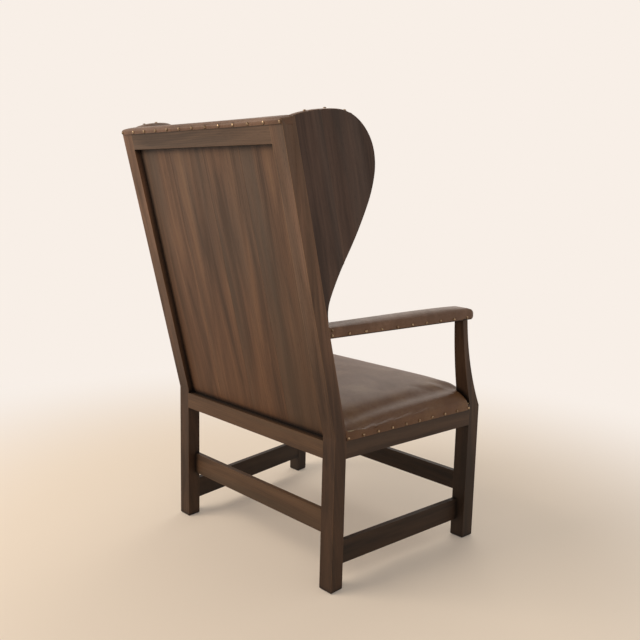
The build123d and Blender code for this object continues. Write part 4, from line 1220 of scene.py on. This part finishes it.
@dataclass(frozen=True)
class Studio:
    """A pale floor, a pale surround, soft lamps and the camera."""

    floor_tone: str = "f4e4d0"
    wall_tone: str = "f8efe7"
    ambient_tone: str = "fff8f0"
    ambient: float = 0.48
    floor_size: float = 12.0
    fade: tuple[float, float, float, float] = (0.7, 2.0, 0.12, 1.0)
    sensor: float = 36.0
    lens: float = 41.465
    place: Triple = (-1.42674, 1.35559, 0.94716)
    yaw: float = 224.84
    pitch: float = -8.84
    roll: float = 1.36
    shift: Span = (0.00044, -0.02122)

    def build(self) -> None:
        """Sets up the floor, the world, the lamps and the camera."""
        self.floor()
        self.surround()
        self.lamps()
        self.camera()
        bpy.context.scene.view_settings.view_transform = "Standard"

    def floor(self) -> None:
        """A matt floor that fades into the surround."""
        bpy.ops.object.select_all(action="DESELECT")
        bpy.ops.mesh.primitive_plane_add(size=self.floor_size, location=(0, 0, 0))
        floor = bpy.context.view_layer.objects.active
        floor.name = "studio_floor"
        material, add = new_material("studio_floor")
        set_surface(
            material, {"Base Color": self.floor_tone, "Roughness": 0.7, "Specular IOR Level": 0.2}
        )
        place = add("TexCoord", output="Object")
        away = add("VectorMath", (place,), "Value", operation="LENGTH")
        fade = add("MapRange", (away, *self.fade), interpolation_type="SMOOTHSTEP")
        share = add("Math", (fade, self.looked_at(add)), operation="MULTIPLY")
        glow = add("Emission", {"Color": self.wall_tone, "Strength": 1.0})
        tree = material.node_tree
        mixed = add("MixShader", (share, tree.nodes["Principled BSDF"].outputs[0], glow))
        tree.links.new(mixed, tree.nodes["Material Output"].inputs["Surface"])
        floor.data.materials.append(material)

    def surround(self) -> None:
        """Soft light from all round, and a pale wall wherever the camera or a shine looks."""
        world = bpy.data.worlds.new("studio_world")
        bpy.context.scene.world = world
        world.use_nodes = True
        tree = world.node_tree
        add = partial(add_node, tree)
        ambient = add("Background", {"Color": self.ambient_tone, "Strength": self.ambient})
        wall = add("Background", {"Color": self.wall_tone, "Strength": 1.0})
        mixed = add("MixShader", (self.looked_at(add), ambient, wall))
        tree.links.new(mixed, tree.nodes["World Output"].inputs["Surface"])

    def looked_at(self, add: Adder) -> Socket:
        """Is 1 for rays from the camera, off a shine or through glass."""
        rays = add("LightPath").node.outputs
        mirrored = (rays["Is Glossy Ray"], rays["Is Transmission Ray"])
        shine = add("Math", mirrored, operation="MAXIMUM")
        return add("Math", (rays["Is Camera Ray"], shine), operation="MAXIMUM")

    def lamps(self) -> None:
        """A large soft key from behind the chair, and a weaker one from its front."""
        for name, place, size, power, tone in (
            ("key_lamp", (1.4, 2.6, 2.6), 2.2, 74.0, "fff4e6"),
            ("front_lamp", (0.9, -2.4, 2.4), 2.0, 18.0, "fffaf2"),
        ):
            lamp = bpy.data.lights.new(name, "AREA")
            lamp.size, lamp.energy, lamp.color = size, power, paint(tone)[:3]
            holder = add_object(name, lamp)
            holder.location = place
            aim = Vector((0, 0, 0.5)) - Vector(place)
            holder.rotation_euler = aim.to_track_quat("-Z", "Y").to_euler()

    def camera(self) -> None:
        """The photograph's camera, fitted to the chair."""
        yaw, pitch, roll = (radians(value) for value in (self.yaw, self.pitch, self.roll))
        level = Vector((-sin(yaw), cos(yaw), 0.0))
        ahead = level * cos(pitch) + UP * sin(pitch)
        right = ahead.cross(UP).normalized()
        above = right.cross(ahead)
        turned_right = cos(roll) * right + sin(roll) * above
        turned_up = -sin(roll) * right + cos(roll) * above
        data = bpy.data.cameras.new("camera")
        data.sensor_width, data.lens = self.sensor, self.lens
        data.shift_x, data.shift_y = self.shift
        holder = add_object("camera", data)
        turn = Matrix((turned_right, turned_up, -ahead)).transposed().to_4x4()
        holder.matrix_world = Matrix.Translation(Vector(self.place)) @ turn
        bpy.context.scene.camera = holder


def main() -> None:
    """Builds the chair's looks in order."""
    logging.basicConfig(level=logging.INFO, format="%(relativeCreated)d ms  %(message)s")
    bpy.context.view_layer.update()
    planes = Planes()
    OakFrame().build()
    Underside().build()
    brass = AntiqueBrass().material()
    crest_spots = NailRow("crest_nail_heads", "crest_nails").build(brass, 11)
    seat_spots = NailRow("seat_nail_heads", "seat_nails").build(brass, 12)
    spots = {}
    for part, seed in (("arm", 13), ("wing", 14)):
        for side in Side:
            row = NailRow(f"{part}_nail_heads_{side.word}", f"{part}_nails_{side.word}")
            spots[part, side] = row.build(brass, seed)
    seat_hide = SEAT_LEATHER.material()
    trim_hide = TRIM_LEATHER.material()
    SeatCover(planes=planes).build(seat_hide, seat_spots)
    for side in Side:
        ArmCover(planes=planes, side=side).build(trim_hide, spots["arm", side])
        WingCover(planes=planes, side=side).build(trim_hide, spots["wing", side])
    BackCover(planes=planes).build(seat_hide)
    CrestStrap(planes=planes).build(trim_hide, crest_spots)
    Studio().build()


if __name__ == "__main__":
    main()
